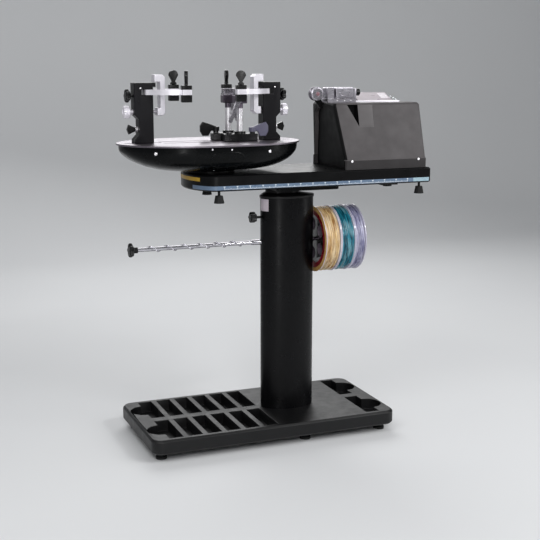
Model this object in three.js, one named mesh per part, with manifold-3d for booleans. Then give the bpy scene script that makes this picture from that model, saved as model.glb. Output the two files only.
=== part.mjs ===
// Electronic racket stringing machine on a floor stand.
// Millimetres, +Z up, +X along the machine from the turntable to the tension head, +Y to the back.
// Heights are counted from the floor; places across are counted from the middle of the base plate.
import * as THREE from 'three';
import { mergeVertices } from 'three/addons/utils/BufferGeometryUtils.js';
import Module from 'manifold-3d';

const wasm = await Module();
wasm.setup();

// Clearances
const gap = 0.3; // between pieces that seat or run on each other
const overrun = 2; // how far a cutter passes the face that it cuts

// Faces round the turned pieces
const fineSides = 24;
const plainSides = 16;

// Base plate and its feet
const baseLength = 790;
const baseDepth = 390;
const baseThickness = 45;
const baseCorner = 35;
const baseEdge = 6;
const footHeight = 25;
const footRadius = 17;
const footPad = 8;
const footStem = 11;
const footInset = 36;
const footBackInset = 50;
const footMiddleX = 103;

// Racket pockets in the base plate
const pocketWidth = 43;
const pocketLength = 160;
const pocketWeb = 32;
const pocketFloor = 11;
const pocketInset = 74;
const rackPitch = 60;
const rackCount = 6;
const lobeRadius = 44;

// Column, collar and the tube that lifts the head
const columnX = 100;
const columnWidth = 172;
const columnDepth = 110;
const columnWall = 3;
const columnHeight = 667;
const collarRim = 8;
const collarCone = 7;
const collarLip = 2;
const collarTopWall = 6;
const spigotLength = 25;
const liftWidth = 108;
const liftDepth = 76;
const liftWall = 4;
const liftOffset = -16;
const liftInsideColumn = 297;
const flangeThickness = 12;
const flangeDepth = 190;
const flangeReach = 152;
const flangeHeel = 54;
const flangeCorner = 12;

// Height lock knob
const heightKnobDrop = 59; // below the column's top
const heightKnobRadius = 17.5;
const heightKnobThickness = 22;
const heightKnobShaft = 4;
const heightKnobStandoff = 16;

// Rods through the rack and the reels
const rodZ = 600;
const rodRadius = 6;
const rodLeftEnd = -390;
const rodNut = 8;
const rodNutStandoff = 2.5;
const rodNutRadius = 10;
const sleeveRadius = 8;
const sleeveLength = 33;
const twistRadius = 1.7;
const twistSteps = 8;
const twistSides = 4;
const twistCount = 6;
const twistPitch = 52;
const twistLeft = -352;
const rodKnobRadius = 22.5;
const rodKnobThickness = 16;
const rodKnobNeck = 9;
const rodKnobNeckLength = 12;
const rodKnobBore = 14;

// Reels of string
const reelSide = 4; // from the column to the first reel
const reelWidths = [52, 47, 36];
const reelBetween = 0.8;
const reelFlange = 2.5;
const reelRadius = 104;
const reelCore = 91;
const reelInner = 76;
const reelRecess = 6;
const reelWindows = 5;
const reelWindowRadius = 20;
const reelWindowCentre = 48;
const windingPitch = 6.6; // about; each reel takes the nearest whole number of turns
const windingGap = 0.6;
const windingSteps = 24;
const windingSides = 6;

// Beam
const beamLeft = -203;
const beamRight = 530;
const beamDepth = 260;
const beamBottom = 778;
const beamHeight = 47;
const beamEdge = 4;
const beamNose = 28; // how far the left end bulges beyond its corners
const beamNoseShare = 0.46;
const beamRound = 38;
const beamFootRadius = 15.5;
const beamFootTop = 11;
const beamFootHeight = 22;
const beamFootStud = 4;
const beamFootDrop = 14;
const beamFootInset = 25;
const beamFootFrontLeft = -158;
const beamFootBackLeft = -125;
const trayLength = 56;
const trayDepth = 180;
const trayDrop = 8;
const trayX = 410;
const inletWidth = 27;
const inletHeight = 20;
const inletDepth = 14;
const inletX = 440;
const inletPinWidth = 2;
const inletPinHeight = 6;
const inletPinPitch = 7;
const switchWidth = 26;
const switchHeight = 18;
const switchDepth = 12;
const switchX = 480;
const switchTilt = 7;
const switchProud = 2;

// Brake knob on the beam's back, below the turntable
const brakeX = -150;
const brakeRadius = 11;
const brakeLength = 14;
const brakeTipShare = 0.75;
const brakeTaper = 4;
const brakeShaft = 4;
const brakeStandoff = 6;

// Turntable
const turntableX = -151;
const turntableLength = 560;
const turntableDepth = 360;
const turntableTop = 915;
const plateThickness = 5;
const planPower = 2.3;
const hullInset = 7;
const hullBottom = 832;
const hullTip = 14;
const keelPower = 3.8;
const keelBlendShare = 0.8;
const sectionShare = 0.66;
const hullStations = 14;
const hullEndShare = 0.22; // of a station, left off beyond each end
const hullSection = 8;
const planPoints = 44;
const bearingRadius = 75;
const spindleRadius = 15;
const spindleRise = 18;
const trackY = 28;
const trackWidth = 14;
const trackHalf = 150;
const towerTrackIn = 147;
const towerTrackOut = 260;
const towerTrackWidth = 16;
const tongueDepth = 4;
const tongueInset = 6;
const mountShift = { left: 0, right: -11 }; // how far each mount stands outwards of its middle place
const supportShift = { left: 0, right: 9 };

// Mounting towers, measured outwards from the turntable's middle
const towerInner = 175.5;
const towerWidth = 43;
const towerStep = 13;
const towerDepth = 44;
const towerHeight = 161;
const towerFoot = 11;
const towerFlare = 14;
const towerWaistTop = 69;
const capHeight = 12;
const capReach = 8;
const towerEdge = 1.5;
const slotBelowTop = 7;
const slotDepth = 33;

// Side arms with their end holders
const armHeight = 15;
const armWidth = 13;
const armEyeRadius = 9.5;
const armPin = 4;
const armPinIn = 14;
const armPinY = 13;
const armEndX = 89;
const armEndY = 64;
const armBulge = 13;
const armSteps = 5;
const armRun = 0.4;
const holderLength = 30;
const holderWidth = 20;
const holderBelow = 21;
const holderAbove = 12;
const holderEdge = 1.5;

// Hold-down knobs on the arm ends
const paddleWidth = 30;
const paddleHeight = 42;
const paddleThickness = 10;
const paddleNeck = 9;
const paddleStem = 4;
const paddleStemDepth = 14;
const paddleTurns = { front_left: 70, back_left: 15, front_right: -20, back_right: 80 }; // degrees

// Centre supports
const supportInner = 138;
const supportWeb = 15;
const supportDepth = 34;
const supportTop = 1111;
const supportTopReach = 32;
const supportTopDrop = 21;
const supportFootZ = 994;
const supportFootReach = 24;
const supportFootHeight = 22;
const supportEdge = 1.5;

// Knobs on the towers
const spindleZ = 1005;
const spindleThread = 5;
const spindleNeck = 7;
const spindleNeckLength = 10;
const spindleKnobRadius = 18;
const spindleKnobLength = 18;
const armKnobZ = 1051;
const armKnobRadius = 20;
const armKnobThickness = 16;
const armKnobStandoff = 7;
const knobShaft = 4;
const knobShaftDepth = 14;
const lockZ = 955;
const lockWasher = 9;
const lockWasherThickness = 7;
const lockWingLength = 20;
const lockWingHeight = 28;
const lockWingNeck = 10;
const lockWingThickness = 14;

// String clamps, measured like the towers
const clampFrontX = 87;
const clampBackX = 70;
const clampBaseLength = 104;
const clampBaseDepth = 46;
const clampBaseHeight = 22;
const clampBaseEnd = 15;
const clampCollarRadius = 17;
const clampCollarHeight = 7;
const clampBossRadius = 8;
const clampBossHeight = 5;
const postRadius = 9.5;
const postDepth = 16;
const postTop = 1026;
const headWidth = 40;
const headDepth = 24;
const headHeight = 24;
const jawHeight = 18;
const jawThickness = 8;
const jawGap = 3;
const toothCount = 4;
const toothSlot = 3;
const toothSlotDepth = 9;
const jawInset = 3;
const handleZ = 1042;
const handlePin = 5.5;
const handlePinLength = 8;
const handleHub = 10.5;
const handleThickness = 5;
const handleReach = 34; // from the hub out to the lever's end
const handleDrop = 66;
const handleEnd = 6;
const handleBow = 16;
const handleWaist = 9;
const leverHub = 11;
const leverHubHeight = 13;
const leverThickness = 10;
const leverLength = 50;
const leverFinStart = 16;
const leverTaper = 8;
const leverDrop = 14;
const leverRise = 28;
const leverRootShare = 0.3;
const leverTipShare = 0.6;
const leverCrestShare = 0.8;

// Tension head
const housingBottomLeft = 240;
const housingBottomRight = 521;
const housingTopLeft = 217;
const housingTopRight = 516;
const housingBottomHalf = 125;
const housingTopHalf = 85;
const housingSkirt = 30;
const skirtLedge = 2;
const housingCrown = 6;
const housingTop = 1023;
const housingRound = 12;
const recessDepth = 14;
const recessFootHalf = 112;
const recessHeadHalf = 74;
const recessDrop = 12; // below the deck
const recessArchShare = 0.7;
const recessRoundShare = 0.6;
const recessSteps = 4;
const recessEndShare = 0.91; // of the quarter turn
const notchLeft = 261;
const notchMiddle = 297;
const notchRight = 348;
const notchRise = 71; // of its point below the deck
const notchDepth = 24;
const notchPanelDepth = 3;
const notchTopWall = 4;
const railWidth = 30;
const railHeight = 4;
const railLeft = 228;
const railRight = 478;

// Roller at the tension head's front corner
const rollerX = 196;
const rollerRise = 27; // of its middle over the deck
const rollerRadius = 21;
const rollerGroove = 15;
const rollerWidth = 26;
const rollerFlange = 4;
const rollerBore = 5;
const bracketThickness = 8;
const bracketHead = 9;
const axleProud = 3;

// Gripper carriage and jaw
const carriageLeft = 226;
const carriageLength = 96;
const carriageDepth = 46;
const carriageBase = 12;
const carriageHeight = 46; // over the deck
const guideLength = 22;
const guideGap = 5;
const stringSlot = 5;
const jawPlateInset = 3;
const jawProud = 1;
const jawCorner = 3;
const guideRound = 4;
const guideFloor = 12;
const endPlate = 10;
const pressureRise = 31;
const pressureRadius = 11;
const pressureLength = 16;
const pressureNeck = 5;
const pressureNeckLength = 5;
const pressureBore = 4;
const pressureDepth = 6;

// Control panel
const panelLeft = 357;
const panelRight = 478;
const panelFrontY = 31;
const panelBackY = 84;
const panelLow = 3;
const panelHigh = 27;
const panelGuardEnd = 501;

// Places that follow from the sizes above
const baseTop = footHeight + baseThickness;
const columnTop = baseTop + columnHeight;
const heightKnobZ = columnTop - heightKnobDrop;
const columnLeft = columnX - columnWidth / 2;
const columnRight = columnX + columnWidth / 2;
const liftX = columnX + liftOffset;
const beamTop = beamBottom + beamHeight;
const beamMiddleZ = beamBottom + beamHeight / 2;
const plateBottom = turntableTop - plateThickness;
const hullTop = plateBottom - gap;
const towerTop = turntableTop + towerHeight;
const slotTop = towerTop - slotBelowTop;
const slotBottom = slotTop - armHeight - 2 * armRun;
const armBottom = slotBottom + armRun;
const armTop = armBottom + armHeight;
const armPinX = towerInner + armPinIn;
const towerOuter = towerInner + towerWidth;
const headOuter = towerOuter + towerStep;
const holderTop = armTop + holderAbove;
const clampSeat = turntableTop + gap;
const clampBaseTop = clampSeat + clampBaseHeight;
const headTop = postTop + headHeight + jawHeight;
const housingShoulder = beamTop + housingSkirt;
const recessTop = housingTop - recessDrop;
const notchFloor = housingTop - notchRise;
const rollerZ = housingTop + rollerRise;
const carriageTop = housingTop + carriageHeight;
const pressureZ = housingTop + pressureRise;
const bossX = clampBaseLength / 2 - clampBaseEnd;
const bossY = clampBaseEnd / 2;

// Solids from three.js geometries

function solid(geometry) {
  const bare = geometry.clone();
  bare.deleteAttribute('normal');
  bare.deleteAttribute('uv');
  const merged = mergeVertices(bare);
  const position = merged.attributes.position;
  const index = merged.index.array;
  const faces = [];
  const [a, b, c] = [new THREE.Vector3(), new THREE.Vector3(), new THREE.Vector3()];
  let volume = 0;
  for (let i = 0; i < index.length; i += 3) {
    const [p, q, r] = [index[i], index[i + 1], index[i + 2]];
    if (p === q || q === r || r === p) continue;
    faces.push([p, q, r]);
    a.fromBufferAttribute(position, p);
    b.fromBufferAttribute(position, q);
    c.fromBufferAttribute(position, r);
    volume += a.dot(b.cross(c));
  }
  const outward = volume > 0 ? faces : faces.map(([p, q, r]) => [p, r, q]);
  const triVerts = new Uint32Array(outward.flat());
  const vertProperties = new Float32Array(position.array);
  return new wasm.Manifold(new wasm.Mesh({ numProp: 3, vertProperties, triVerts }));
}

function geometryOf(shape) {
  const mesh = shape.getMesh();
  const geometry = new THREE.BufferGeometry();
  geometry.setAttribute('position', new THREE.BufferAttribute(new Float32Array(mesh.vertProperties), 3));
  geometry.setIndex(new THREE.BufferAttribute(new Uint32Array(mesh.triVerts), 1));
  geometry.computeVertexNormals();
  return geometry;
}

function block(low, high) {
  const size = high.map((value, i) => value - low[i]);
  const geometry = new THREE.BoxGeometry(...size);
  geometry.translate(...low.map((value, i) => value + size[i] / 2));
  return solid(geometry);
}

// A plane is named by the two axes that a shape's x and y lie along; the extrusion runs along the third.
const axisX = new THREE.Vector3(1, 0, 0);
const axisY = new THREE.Vector3(0, 1, 0);
const axisZ = new THREE.Vector3(0, 0, 1);
const planes = {
  XY: new THREE.Matrix4(),
  XZ: new THREE.Matrix4().makeBasis(axisX, axisZ, axisY.clone().negate()),
  YZ: new THREE.Matrix4().makeBasis(axisY, axisZ, axisX),
};

function prism(shape, plane, from, to, edge = 0, curveSegments = 6) {
  const geometry = new THREE.ExtrudeGeometry(shape, {
    depth: to - from - 2 * edge,
    bevelEnabled: edge > 0,
    bevelThickness: edge,
    bevelSize: edge,
    bevelOffset: -edge,
    bevelSegments: 1,
    curveSegments,
  });
  const start = plane === 'XZ' ? -to : from;
  geometry.translate(0, 0, start + edge);
  geometry.applyMatrix4(planes[plane]);
  return solid(geometry);
}

function polygon(points) {
  return new THREE.Shape(points.map(([x, y]) => new THREE.Vector2(x, y)));
}

function roundedRectangle(left, right, low, high, radius) {
  const shape = new THREE.Shape();
  shape.absarc(right - radius, low + radius, radius, -Math.PI / 2, 0, false);
  shape.absarc(right - radius, high - radius, radius, 0, Math.PI / 2, false);
  shape.absarc(left + radius, high - radius, radius, Math.PI / 2, Math.PI, false);
  shape.absarc(left + radius, low + radius, radius, Math.PI, 1.5 * Math.PI, false);
  return shape;
}

function oval(x, y, width, depth, inset = 0) {
  const shape = new THREE.Shape();
  shape.absellipse(x, y, width / 2 - inset, depth / 2 - inset, 0, 2 * Math.PI, false);
  return shape;
}

// A profile of [radius, distance along the axis] turned about an axis through a point.
function turned(profile, axis, [x, y, z], segments = 20) {
  const points = profile.map(([radius, along]) => new THREE.Vector2(radius, along));
  const geometry = new THREE.LatheGeometry(points, segments);
  if (axis === 'X') geometry.rotateZ(-Math.PI / 2);
  if (axis === 'Z') geometry.rotateX(Math.PI / 2);
  geometry.translate(x, y, z);
  return solid(geometry);
}

function pin(radius, from, to, axis, place, segments = 16) {
  return turned([[0, from], [radius, from], [radius, to], [0, to]], axis, place, segments);
}

// A closed skin over rings of equal point count, with a fan of faces over each end ring.
function loft(rings) {
  const count = rings[0].length;
  const points = rings.flat();
  const faces = [];
  for (let ring = 0; ring + 1 < rings.length; ring++) {
    for (let i = 0; i < count; i++) {
      const a = ring * count + i;
      const b = ring * count + ((i + 1) % count);
      faces.push(a, b, b + count, a, b + count, a + count);
    }
  }
  const last = (rings.length - 1) * count;
  for (let i = 1; i + 1 < count; i++) {
    faces.push(0, i + 1, i);
    faces.push(last, last + i, last + i + 1);
  }
  const geometry = new THREE.BufferGeometry();
  geometry.setAttribute('position', new THREE.BufferAttribute(new Float32Array(points.flat()), 3));
  geometry.setIndex(faces);
  return solid(geometry);
}

function starOutline(radius, lobes = 5, dipShare = 0.16, stepsPerLobe = 4) {
  const steps = lobes * stepsPerLobe;
  const points = [];
  for (let i = 0; i < steps; i++) {
    const angle = (2 * Math.PI * i) / steps;
    const reach = radius * (1 - dipShare * (1 - Math.cos(lobes * angle)));
    points.push([reach * Math.cos(angle), reach * Math.sin(angle)]);
  }
  return points;
}

// A lobed knob on an X axis: head from one place to another, at a height and a depth.
function starHead(radius, from, to, y, z) {
  const shape = polygon(starOutline(radius).map(([u, v]) => [y + u, z + v]));
  return prism(shape, 'YZ', from, to, radius / 8);
}

// Materials
function paint(color, roughness, metalness) {
  return new THREE.MeshStandardMaterial({ color, roughness, metalness });
}

const satinBlack = paint(0x17181a, 0.45, 0.2);
const mouldedBlack = paint(0x1b1b1d, 0.55, 0);
const knobBlack = paint(0x101112, 0.4, 0);
const rubberBlack = paint(0x141414, 0.8, 0);
const hullBlack = paint(0x121417, 0.35, 0);
const texturedGrey = paint(0x4b4849, 0.7, 0);
const silverPlate = paint(0xd6d1da, 0.3, 0.9);
const silver = paint(0xe4e2e6, 0.3, 0.9);
const chrome = paint(0xe8e8ee, 0.12, 1);
const gunmetal = paint(0x77727c, 0.35, 0.8);
const leverGrey = paint(0x8d8aa4, 0.5, 0.3);
const reelClear = paint(0x2a2326, 0.3, 0);
const panelSilver = paint(0xd9d2d8, 0.4, 0.4);
const guardClear = paint(0xaab0b4, 0.15, 0);
const stringColours = [paint(0xe0c98a, 0.35, 0), paint(0x2d8296, 0.3, 0), paint(0xb6b2cc, 0.3, 0)];

const machine = new THREE.Group();

function add(parent, name, shape, material) {
  const mesh = new THREE.Mesh(geometryOf(shape), material);
  mesh.name = name;
  parent.add(mesh);
  return mesh;
}

// Stand

function pocketColumns() {
  const columns = [];
  for (let i = 0; i < rackCount; i++) columns.push(-baseLength / 2 + pocketInset + i * rackPitch);
  columns.push(baseLength / 2 - pocketInset);
  return columns;
}

function basePlate() {
  const shape = roundedRectangle(-baseLength / 2, baseLength / 2, -baseDepth / 2, baseDepth / 2, baseCorner);
  let plate = prism(shape, 'XY', footHeight, baseTop, baseEdge, 4);
  const floor = footHeight + pocketFloor;
  const columns = pocketColumns();
  for (const side of [-1, 1]) {
    const middle = side * (pocketWeb + pocketLength) / 2;
    const [low, high] = [middle - pocketLength / 2, middle + pocketLength / 2];
    for (const x of columns) {
      const corner = [x + pocketWidth / 2, high, baseTop + overrun];
      plate = plate.subtract(block([x - pocketWidth / 2, low, floor], corner));
    }
    const ends = [columns[0] - pocketWidth / 2, columns.at(-1) + pocketWidth / 2];
    for (const x of ends) {
      plate = plate.subtract(pin(lobeRadius, floor, baseTop + overrun, 'Z', [x, middle, 0], 12));
    }
  }
  return plate;
}

function baseFoot(x, y) {
  const top = footHeight - gap;
  const profile = [
    [0, 0], [footRadius, 0], [footRadius, footPad], [footStem, footPad + 2 * gap], [footStem, top], [0, top],
  ];
  return turned(profile, 'Z', [x, y, 0], 12);
}

function column() {
  const outer = prism(oval(columnX, 0, columnWidth, columnDepth), 'XY', baseTop + gap, columnTop, 0, 12);
  const bore = oval(columnX, 0, columnWidth, columnDepth, columnWall);
  const inner = prism(bore, 'XY', baseTop - overrun, columnTop + overrun, 0, 12);
  const rodHole = pin(rodRadius + gap, columnLeft - overrun, columnRight + overrun, 'X', [0, 0, rodZ], 12);
  const knobHole = pin(heightKnobShaft + gap, columnLeft - overrun, columnX, 'X', [0, 0, heightKnobZ], 10);
  return outer.subtract(inner).subtract(rodHole).subtract(knobHole);
}

function columnCollar() {
  const seat = columnTop + gap;
  const rimTop = seat + collarRim;
  const coneTop = rimTop + collarCone;
  const half = columnWidth / 2 + collarLip;
  const shoulder = liftWidth / 2 + collarTopWall;
  const shapes = [[half, seat], [half, rimTop], [shoulder, coneTop]];
  const steps = 24;
  const rings = shapes.map(([reach, z], level) => {
    const x = level === 2 ? liftX : columnX;
    const depth = level === 2 ? liftDepth / 2 + collarTopWall : columnDepth / 2 + collarLip;
    return Array.from({ length: steps }, (_, i) => {
      const angle = (2 * Math.PI * i) / steps;
      return [x + reach * Math.cos(angle), depth * Math.sin(angle), z];
    });
  });
  const spigotOval = oval(columnX, 0, columnWidth, columnDepth, columnWall + gap);
  const spigot = prism(spigotOval, 'XY', columnTop - spigotLength, seat + gap, 0, 12);
  const hole = prism(oval(liftX, 0, liftWidth, liftDepth, -gap), 'XY', columnTop - spigotLength - overrun,
    coneTop + overrun, 0, 12);
  return loft(rings).add(spigot).subtract(hole);
}

function liftTube() {
  const bottom = columnTop - liftInsideColumn;
  const flangeBottom = beamBottom - gap - flangeThickness;
  const outer = prism(oval(liftX, 0, liftWidth, liftDepth), 'XY', bottom, flangeBottom, 0, 12);
  const bore = oval(liftX, 0, liftWidth, liftDepth, liftWall);
  const inner = prism(bore, 'XY', bottom - overrun, flangeBottom - liftWall, 0, 12);
  const half = flangeDepth / 2;
  const plate = roundedRectangle(liftX - flangeHeel, liftX + flangeReach, -half, half, flangeCorner);
  const flange = prism(plate, 'XY', flangeBottom - gap, beamBottom - gap, 0, 3);
  return outer.subtract(inner).add(flange);
}

function rackRod() {
  const nutStart = columnLeft + columnWall + rodNutStandoff;
  const nutEnd = nutStart + rodNut;
  const sleeveRight = columnLeft - gap;
  const shaft = pin(rodRadius, rodLeftEnd, nutEnd, 'X', [0, 0, rodZ], 12);
  const sleeve = pin(sleeveRadius, sleeveRight - sleeveLength, sleeveRight, 'X', [0, 0, rodZ], 14);
  const nut = pin(rodNutRadius, nutStart, nutEnd, 'X', [0, 0, rodZ], 6);
  return shaft.add(sleeve).add(nut).add(twistedDivider());
}

// The divider wire winds round the rod in one turn for each racket place and ends in the rod.
function twistedDivider() {
  const reach = (rodRadius + gap + twistRadius) / Math.cos(Math.PI / twistSteps);
  const steps = twistCount * twistSteps;
  const rings = [];
  for (let i = -1; i <= steps + 1; i++) {
    const turn = (2 * Math.PI * i) / twistSteps;
    const x = twistLeft + (twistPitch * i) / twistSteps;
    const buried = i < 0 || i > steps;
    rings.push(tubeRing(turn, buried ? twistRadius : reach, x, twistRadius, twistSides, 0, rodZ));
  }
  return loft(rings);
}

// One ring of a tube wound about an X axis: its points lie in the plane of the radius and the axis.
function tubeRing(turn, reach, x, radius, sides, y, z) {
  return Array.from({ length: sides }, (_, i) => {
    const angle = (2 * Math.PI * i) / sides;
    const out = reach + radius * Math.cos(angle);
    return [x + radius * Math.sin(angle), y + out * Math.cos(turn), z + out * Math.sin(turn)];
  });
}

function reelsWidth() {
  return reelWidths.reduce((sum, width) => sum + width, 0) + reelBetween * (reelWidths.length - 1);
}

function reelRod() {
  const nutEnd = columnRight - columnWall - rodNutStandoff;
  const nutStart = nutEnd - rodNut;
  const end = columnRight + reelSide + reelsWidth() + reelBetween + rodKnobBore - 2 * gap;
  const shaft = pin(rodRadius, nutStart, end, 'X', [0, 0, rodZ], 12);
  const nut = pin(rodNutRadius, nutStart, nutEnd, 'X', [0, 0, rodZ], 6);
  const spacer = pin(sleeveRadius, columnRight + gap, columnRight + reelSide - gap, 'X', [0, 0, rodZ], 14);
  return shaft.add(nut).add(spacer);
}

// A rod's end knob; facing is -1 on the left and 1 on the right, seat is where its neck starts.
function rodKnob(seat, facing) {
  const neckEnd = seat + facing * rodKnobNeckLength;
  const face = neckEnd + facing * rodKnobThickness;
  const sorted = (a, b) => [Math.min(a, b), Math.max(a, b)];
  const head = starHead(rodKnobRadius, ...sorted(neckEnd - facing * gap, face), 0, rodZ);
  const neck = pin(rodKnobNeck, ...sorted(seat, neckEnd), 'X', [0, 0, rodZ], 14);
  const hole = sorted(seat - facing * overrun, seat + facing * rodKnobBore);
  const bore = pin(rodRadius + gap, ...hole, 'X', [0, 0, rodZ], 12);
  return head.add(neck).subtract(bore);
}

function heightKnob() {
  const seat = columnLeft - heightKnobStandoff;
  const shaftEnd = liftX - liftWidth / 2 - gap;
  const head = starHead(heightKnobRadius, seat - heightKnobThickness, seat, 0, heightKnobZ);
  const shaft = pin(heightKnobShaft, seat - gap, shaftEnd, 'X', [0, 0, heightKnobZ], 10);
  return head.add(shaft);
}

// Reels: a flanged drum whose plain core stands for the inner layers, and the outer layer as one string

function reelHub(left, width) {
  const right = width;
  const profile = [
    [rodRadius + gap, reelRecess], [reelInner, reelRecess], [reelInner, 0],
    [reelRadius, 0], [reelRadius, reelFlange], [reelCore, reelFlange], [reelCore, right - reelFlange],
    [reelRadius, right - reelFlange], [reelRadius, right], [rodRadius + gap, right],
    [rodRadius + gap, reelRecess],
  ];
  let hub = turned(profile, 'X', [left, 0, rodZ], windingSteps);
  for (let i = 0; i < reelWindows; i++) {
    const angle = (2 * Math.PI * i) / reelWindows;
    const y = reelWindowCentre * Math.cos(angle);
    const z = rodZ + reelWindowCentre * Math.sin(angle);
    hub = hub.subtract(pin(reelWindowRadius, left - overrun, left + width + overrun, 'X', [0, y, z], 8));
  }
  return hub;
}

function stringWinding(left, width) {
  const room = width - 2 * reelFlange - 2 * gap;
  const turns = Math.max(1, Math.round(room / windingPitch) - 1);
  const pitch = (room + windingGap) / (turns + 1);
  const radius = (pitch - windingGap) / 2;
  const reach = (reelCore + gap + radius) / Math.cos(Math.PI / windingSteps);
  const start = left + reelFlange + gap + radius;
  const steps = turns * windingSteps;
  const rings = [];
  for (let i = 0; i <= steps; i++) {
    const turn = (2 * Math.PI * i) / windingSteps;
    rings.push(tubeRing(turn, reach, start + (pitch * i) / windingSteps, radius, windingSides, 0, rodZ));
  }
  console.log(`winding at x ${left.toFixed(1)}: least gap between turns ${leastGap(rings).toFixed(2)} mm`);
  return loft(rings);
}

// The least distance between the points of one turn and those of the next.
function leastGap(rings) {
  let least = Infinity;
  for (let i = 0; i < rings.length; i++) {
    const first = i + Math.round(windingSteps * 0.75);
    const last = Math.min(rings.length - 1, i + Math.round(windingSteps * 1.25));
    for (let j = first; j <= last; j++) {
      for (const a of rings[i]) {
        for (const b of rings[j]) least = Math.min(least, Math.hypot(a[0] - b[0], a[1] - b[1], a[2] - b[2]));
      }
    }
  }
  return least;
}

// Beam

function beamFoot(x, y) {
  const top = beamBottom + gap;
  const coneTop = beamBottom - beamFootDrop;
  const profile = [
    [0, coneTop - beamFootHeight], [beamFootRadius, coneTop - beamFootHeight], [beamFootTop, coneTop],
    [beamFootStud, coneTop], [beamFootStud, top], [0, top],
  ];
  return turned(profile, 'Z', [x, y, 0], 10);
}

function inletRecess() {
  const back = beamDepth / 2;
  const z = beamMiddleZ;
  const low = [inletX - inletWidth / 2, back - inletDepth, z - inletHeight / 2];
  const high = [inletX + inletWidth / 2, back + overrun, z + inletHeight / 2];
  let recess = block(low, high);
  for (const place of [-1, 0, 1]) {
    const x = inletX + place * inletPinPitch;
    recess = recess.subtract(block(
      [x - inletPinWidth / 2, back - inletDepth - gap, z - inletPinHeight / 2],
      [x + inletPinWidth / 2, back - inletPinHeight / 2, z + inletPinHeight / 2],
    ));
  }
  return recess;
}

// The beam's plan: a bar whose left end swells to a rounded nose.
function beamPlan() {
  const half = beamDepth / 2;
  const nose = beamLeft - beamNose;
  const shape = new THREE.Shape();
  shape.moveTo(beamRight, -half);
  shape.lineTo(beamRight, half);
  shape.lineTo(beamLeft + beamRound, half);
  shape.bezierCurveTo(beamLeft, half, nose, half * beamNoseShare, nose, 0);
  shape.bezierCurveTo(nose, -half * beamNoseShare, beamLeft, -half, beamLeft + beamRound, -half);
  return shape;
}

function beam() {
  const half = beamDepth / 2;
  let body = prism(beamPlan(), 'XY', beamBottom, beamTop, beamEdge, 6);
  const row = half - beamFootInset;
  const footRight = beamRight - beamFootInset;
  const feet = [[beamFootFrontLeft, -row], [beamFootBackLeft, row], [footRight, -row], [footRight, row]];
  for (const [x, y] of feet) body = body.add(beamFoot(x, y));
  const tray = [trayX - trayLength / 2, -trayDepth / 2, beamBottom - trayDrop];
  body = body.add(block(tray, [trayX + trayLength / 2, trayDepth / 2, beamBottom + gap]));
  body = body.subtract(inletRecess());
  const wellHalf = switchHeight / 2 + 2 * gap;
  const wellLow = [switchX - switchWidth / 2 - gap, half - switchDepth, beamMiddleZ - wellHalf];
  const wellHigh = [switchX + switchWidth / 2 + gap, half + overrun, beamMiddleZ + wellHalf];
  body = body.subtract(block(wellLow, wellHigh));
  const hole = [half - brakeLength, half + overrun];
  return body.subtract(pin(brakeShaft + gap, ...hole, 'Y', [brakeX, 0, beamMiddleZ], 10));
}

// The rocker is drawn about its pivot, with its face towards the back.
function powerSwitch() {
  const half = switchHeight / 2;
  const face = switchDepth / 2;
  const shape = polygon([
    [0, -half / 2], [face + switchProud / 2, gap - half], [face - switchProud / 2, 0],
    [face + switchProud / 2, half - gap], [0, half / 2],
  ]);
  const rocker = prism(shape, 'YZ', -switchWidth / 2, switchWidth / 2);
  return rocker.add(pin(switchDepth / 4, -switchWidth / 2, switchWidth / 2, 'X', [0, 0, 0], 8));
}

function brakeKnob() {
  const seat = beamDepth / 2 + brakeStandoff;
  const end = seat + brakeLength;
  const root = beamDepth / 2 - brakeLength + overrun;
  const profile = [
    [0, root], [brakeShaft, root], [brakeShaft, seat], [brakeRadius, seat], [brakeRadius, end - brakeTaper],
    [brakeRadius * brakeTipShare, end], [0, end],
  ];
  return turned(profile, 'Y', [brakeX, 0, beamMiddleZ], 14);
}

// Turntable; its pieces are drawn about the turntable's own middle

// Half the depth of the boat-shaped plan at a distance along it, as shares of the half length and half depth.
function planShare(share) {
  return Math.sqrt(Math.max(0, 1 - Math.abs(share) ** planPower));
}

function planOutline(halfLength, halfDepth) {
  const points = [];
  for (let i = 0; i < planPoints; i++) {
    const angle = (2 * Math.PI * i) / planPoints;
    const along = Math.sign(Math.cos(angle)) * Math.abs(Math.cos(angle)) ** (2 / planPower);
    points.push([halfLength * along, halfDepth * Math.sin(angle)]);
  }
  return polygon(points);
}

function stadium(from, to, y, width) {
  const radius = width / 2;
  const shape = new THREE.Shape();
  shape.absarc(to - radius, y, radius, -Math.PI / 2, Math.PI / 2, false);
  shape.absarc(from + radius, y, radius, Math.PI / 2, 1.5 * Math.PI, false);
  return shape;
}

function turntablePlate() {
  const outline = planOutline(turntableLength / 2, turntableDepth / 2);
  let plate = prism(outline, 'XY', plateBottom, turntableTop);
  const cut = (shape) => {
    plate = plate.subtract(prism(shape, 'XY', plateBottom - overrun, turntableTop + overrun, 0, 3));
  };
  cut(stadium(-trackHalf, trackHalf, trackY, trackWidth));
  cut(stadium(-trackHalf, trackHalf, -trackY, trackWidth));
  cut(stadium(towerTrackIn, towerTrackOut, 0, towerTrackWidth));
  cut(stadium(-towerTrackOut, -towerTrackIn, 0, towerTrackWidth));
  return plate;
}

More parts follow.
